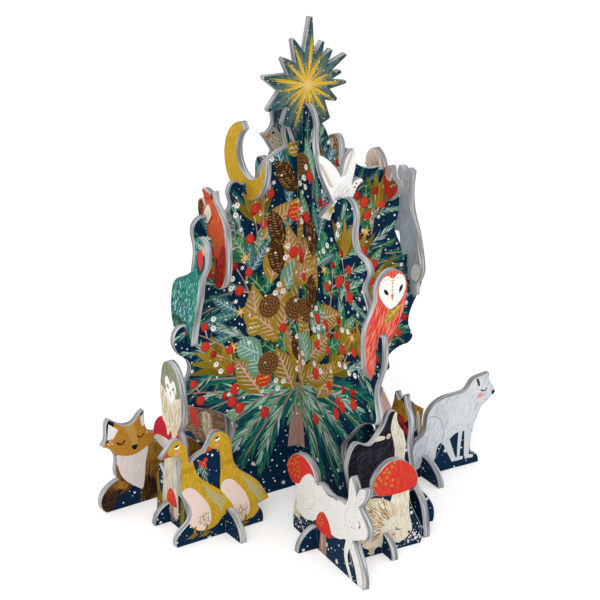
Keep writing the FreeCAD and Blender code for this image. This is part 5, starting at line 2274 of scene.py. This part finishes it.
@dataclass
class Studio:
    """Pale floor, soft lamps, white surroundings and the camera."""

    azimuth: float = -33.0
    elevation: float = 19.7
    camera_at: tuple[float, float, float] = (-0.605, -0.931, 0.565)
    lens: float = 85.8
    shift_x: float = 0.0022
    sensor: float = 36.0
    view_reach: float = 100.0
    floor_size: float = 30.0
    floor_grey: float = 0.93
    floor_glow: float = 0.3
    sky_light: float = 0.75
    lamp_at: tuple[float, float, float] = (-1.4, -1.6, 1.9)
    lamp_aim: tuple[float, float, float] = (0.0, 0.0, 0.2)
    lamp_size: float = 1.6
    lamp_power: float = 26.0

    def build(self) -> None:
        """Set up the whole studio."""
        self.add_camera()
        self.add_floor()
        self.add_light()

    def add_camera(self) -> None:
        """Put the camera before the calendar, level and looking a little down."""
        data = bpy.data.cameras.new("camera")
        data.lens, data.sensor_width, data.shift_x = self.lens, self.sensor, self.shift_x
        data.clip_end = self.view_reach
        camera = bpy.data.objects.new("camera", data)
        camera.location = self.camera_at
        camera.rotation_euler = (math.radians(90.0 - self.elevation), 0.0, math.radians(self.azimuth))
        bpy.context.scene.collection.objects.link(camera)
        bpy.context.scene.camera = camera

    def add_floor(self) -> None:
        """Lay a wide pale floor under the calendar."""
        half = self.floor_size / 2
        corners = np.array([(-half, -half, 0), (half, -half, 0), (half, half, 0), (-half, half, 0)])
        triangles = np.array([(0, 1, 2), (0, 2, 3)])
        floor = mesh_object("floor", corners, triangles, np.zeros(2))
        floor.data.materials.append(self.floor_material())

    def floor_material(self) -> bpy.types.Material:
        """Make the floor's finish: matt pale paint that looks lit a little from within.

        The glow meets only rays from the camera and rays off gloss or through glass, so it puts no
        light on the calendar, and the shadow stays.

        Returns:
            The material.
        """
        material = bpy.data.materials.new("floor")
        material.use_nodes = True
        tree = material.node_tree
        tree.nodes.clear()
        paint = add_node(tree, "BsdfDiffuse", Color=(*[self.floor_grey] * 3, 1.0))
        glow = add_node(tree, "Emission", Strength=self.shown_part(tree, self.floor_glow, 0.0))
        both = add_node(tree, "AddShader")
        feed(tree, both.inputs[0], paint.outputs["BSDF"])
        feed(tree, both.inputs[1], glow.outputs["Emission"])
        add_node(tree, "OutputMaterial", Surface=both.outputs["Shader"])
        return material

    def shown_part(self, tree: bpy.types.NodeTree, part: float, rest: float) -> Socket:
        """Make a value with one part for all rays and another for those that show a thing to the eye.

        Args:
            tree: Nodes of a material or of the world.
            part: What rays from the camera, off gloss and through glass get on top of the rest.
            rest: What every ray gets.

        Returns:
            The value's socket.
        """
        rays = add_node(tree, "LightPath")
        value = rest
        for name in ("Is Camera Ray", "Is Glossy Ray", "Is Transmission Ray"):
            step = add_node(tree, "Math")
            step.operation = "MULTIPLY_ADD"
            for socket, given in zip(step.inputs, (rays.outputs[name], part, value)):
                feed(tree, socket, given)
            value = step.outputs["Value"]
        return value

    def add_light(self) -> None:
        """Light the calendar from all round, and a little more from the front left above."""
        world = bpy.data.worlds.new("surroundings")
        world.use_nodes = True
        tree = world.node_tree
        sky = tree.nodes["Background"].inputs
        feed(tree, sky["Color"], (1.0, 1.0, 1.0, 1.0))
        feed(tree, sky["Strength"], self.shown_part(tree, 1.0 - self.sky_light, self.sky_light))
        bpy.context.scene.world = world
        lamp = bpy.data.lights.new("key", "AREA")
        lamp.shape, lamp.size, lamp.energy = "DISK", self.lamp_size, self.lamp_power
        key = bpy.data.objects.new("key", lamp)
        key.location = self.lamp_at
        key.rotation_euler = (Vector(self.lamp_aim) - key.location).to_track_quat("-Z", "Y").to_euler()
        bpy.context.scene.collection.objects.link(key)


PICTURES: dict[str, Picture] = {
    "tree_board_a": TreeHalves(seed=3),
    "tree_board_b": TreeHalves(seed=8),
    "star": TreetopStar(),
    "moon": Moon(),
    "thrush": Thrush(),
    "marten": Marten(),
    "pheasant": Pheasant(),
    "dove": Dove(),
    "owl": Owl(),
    "finch": Finch(),
    "robin": Robin(),
    "tall_hare": TallHare(),
    "fox": Fox(),
    "snowy_owl": SnowyOwl(),
    "ducks": Ducks(),
    "hare": Hare(),
    "hedgehog": Hedgehog(),
    "badger": Badger(),
    "cub": Cub(),
    "arctic_fox": ArcticFox(),
    "stoat": Stoat(),
    "log": Log(),
}


def main() -> None:
    """Build every piece in order and log each one."""
    logging.basicConfig(level=logging.INFO, format="%(name)s: %(message)s")
    bpy.context.scene.view_settings.view_transform = "Standard"
    slots = {row["node"]: row["material_slot"] for row in frame["record"]["subparts"]}
    rack = InkRack()
    for node in sorted(frame["nodes"]):
        picture = PICTURES.get(node, Picture())
        piece = PrintedBoard(Board.from_node(node), slots[node], rack, picture).build()
        log.info("%s: %d triangles", piece.name, len(piece.data.polygons))
    Studio().build()


if __name__ == "__main__":
    main()
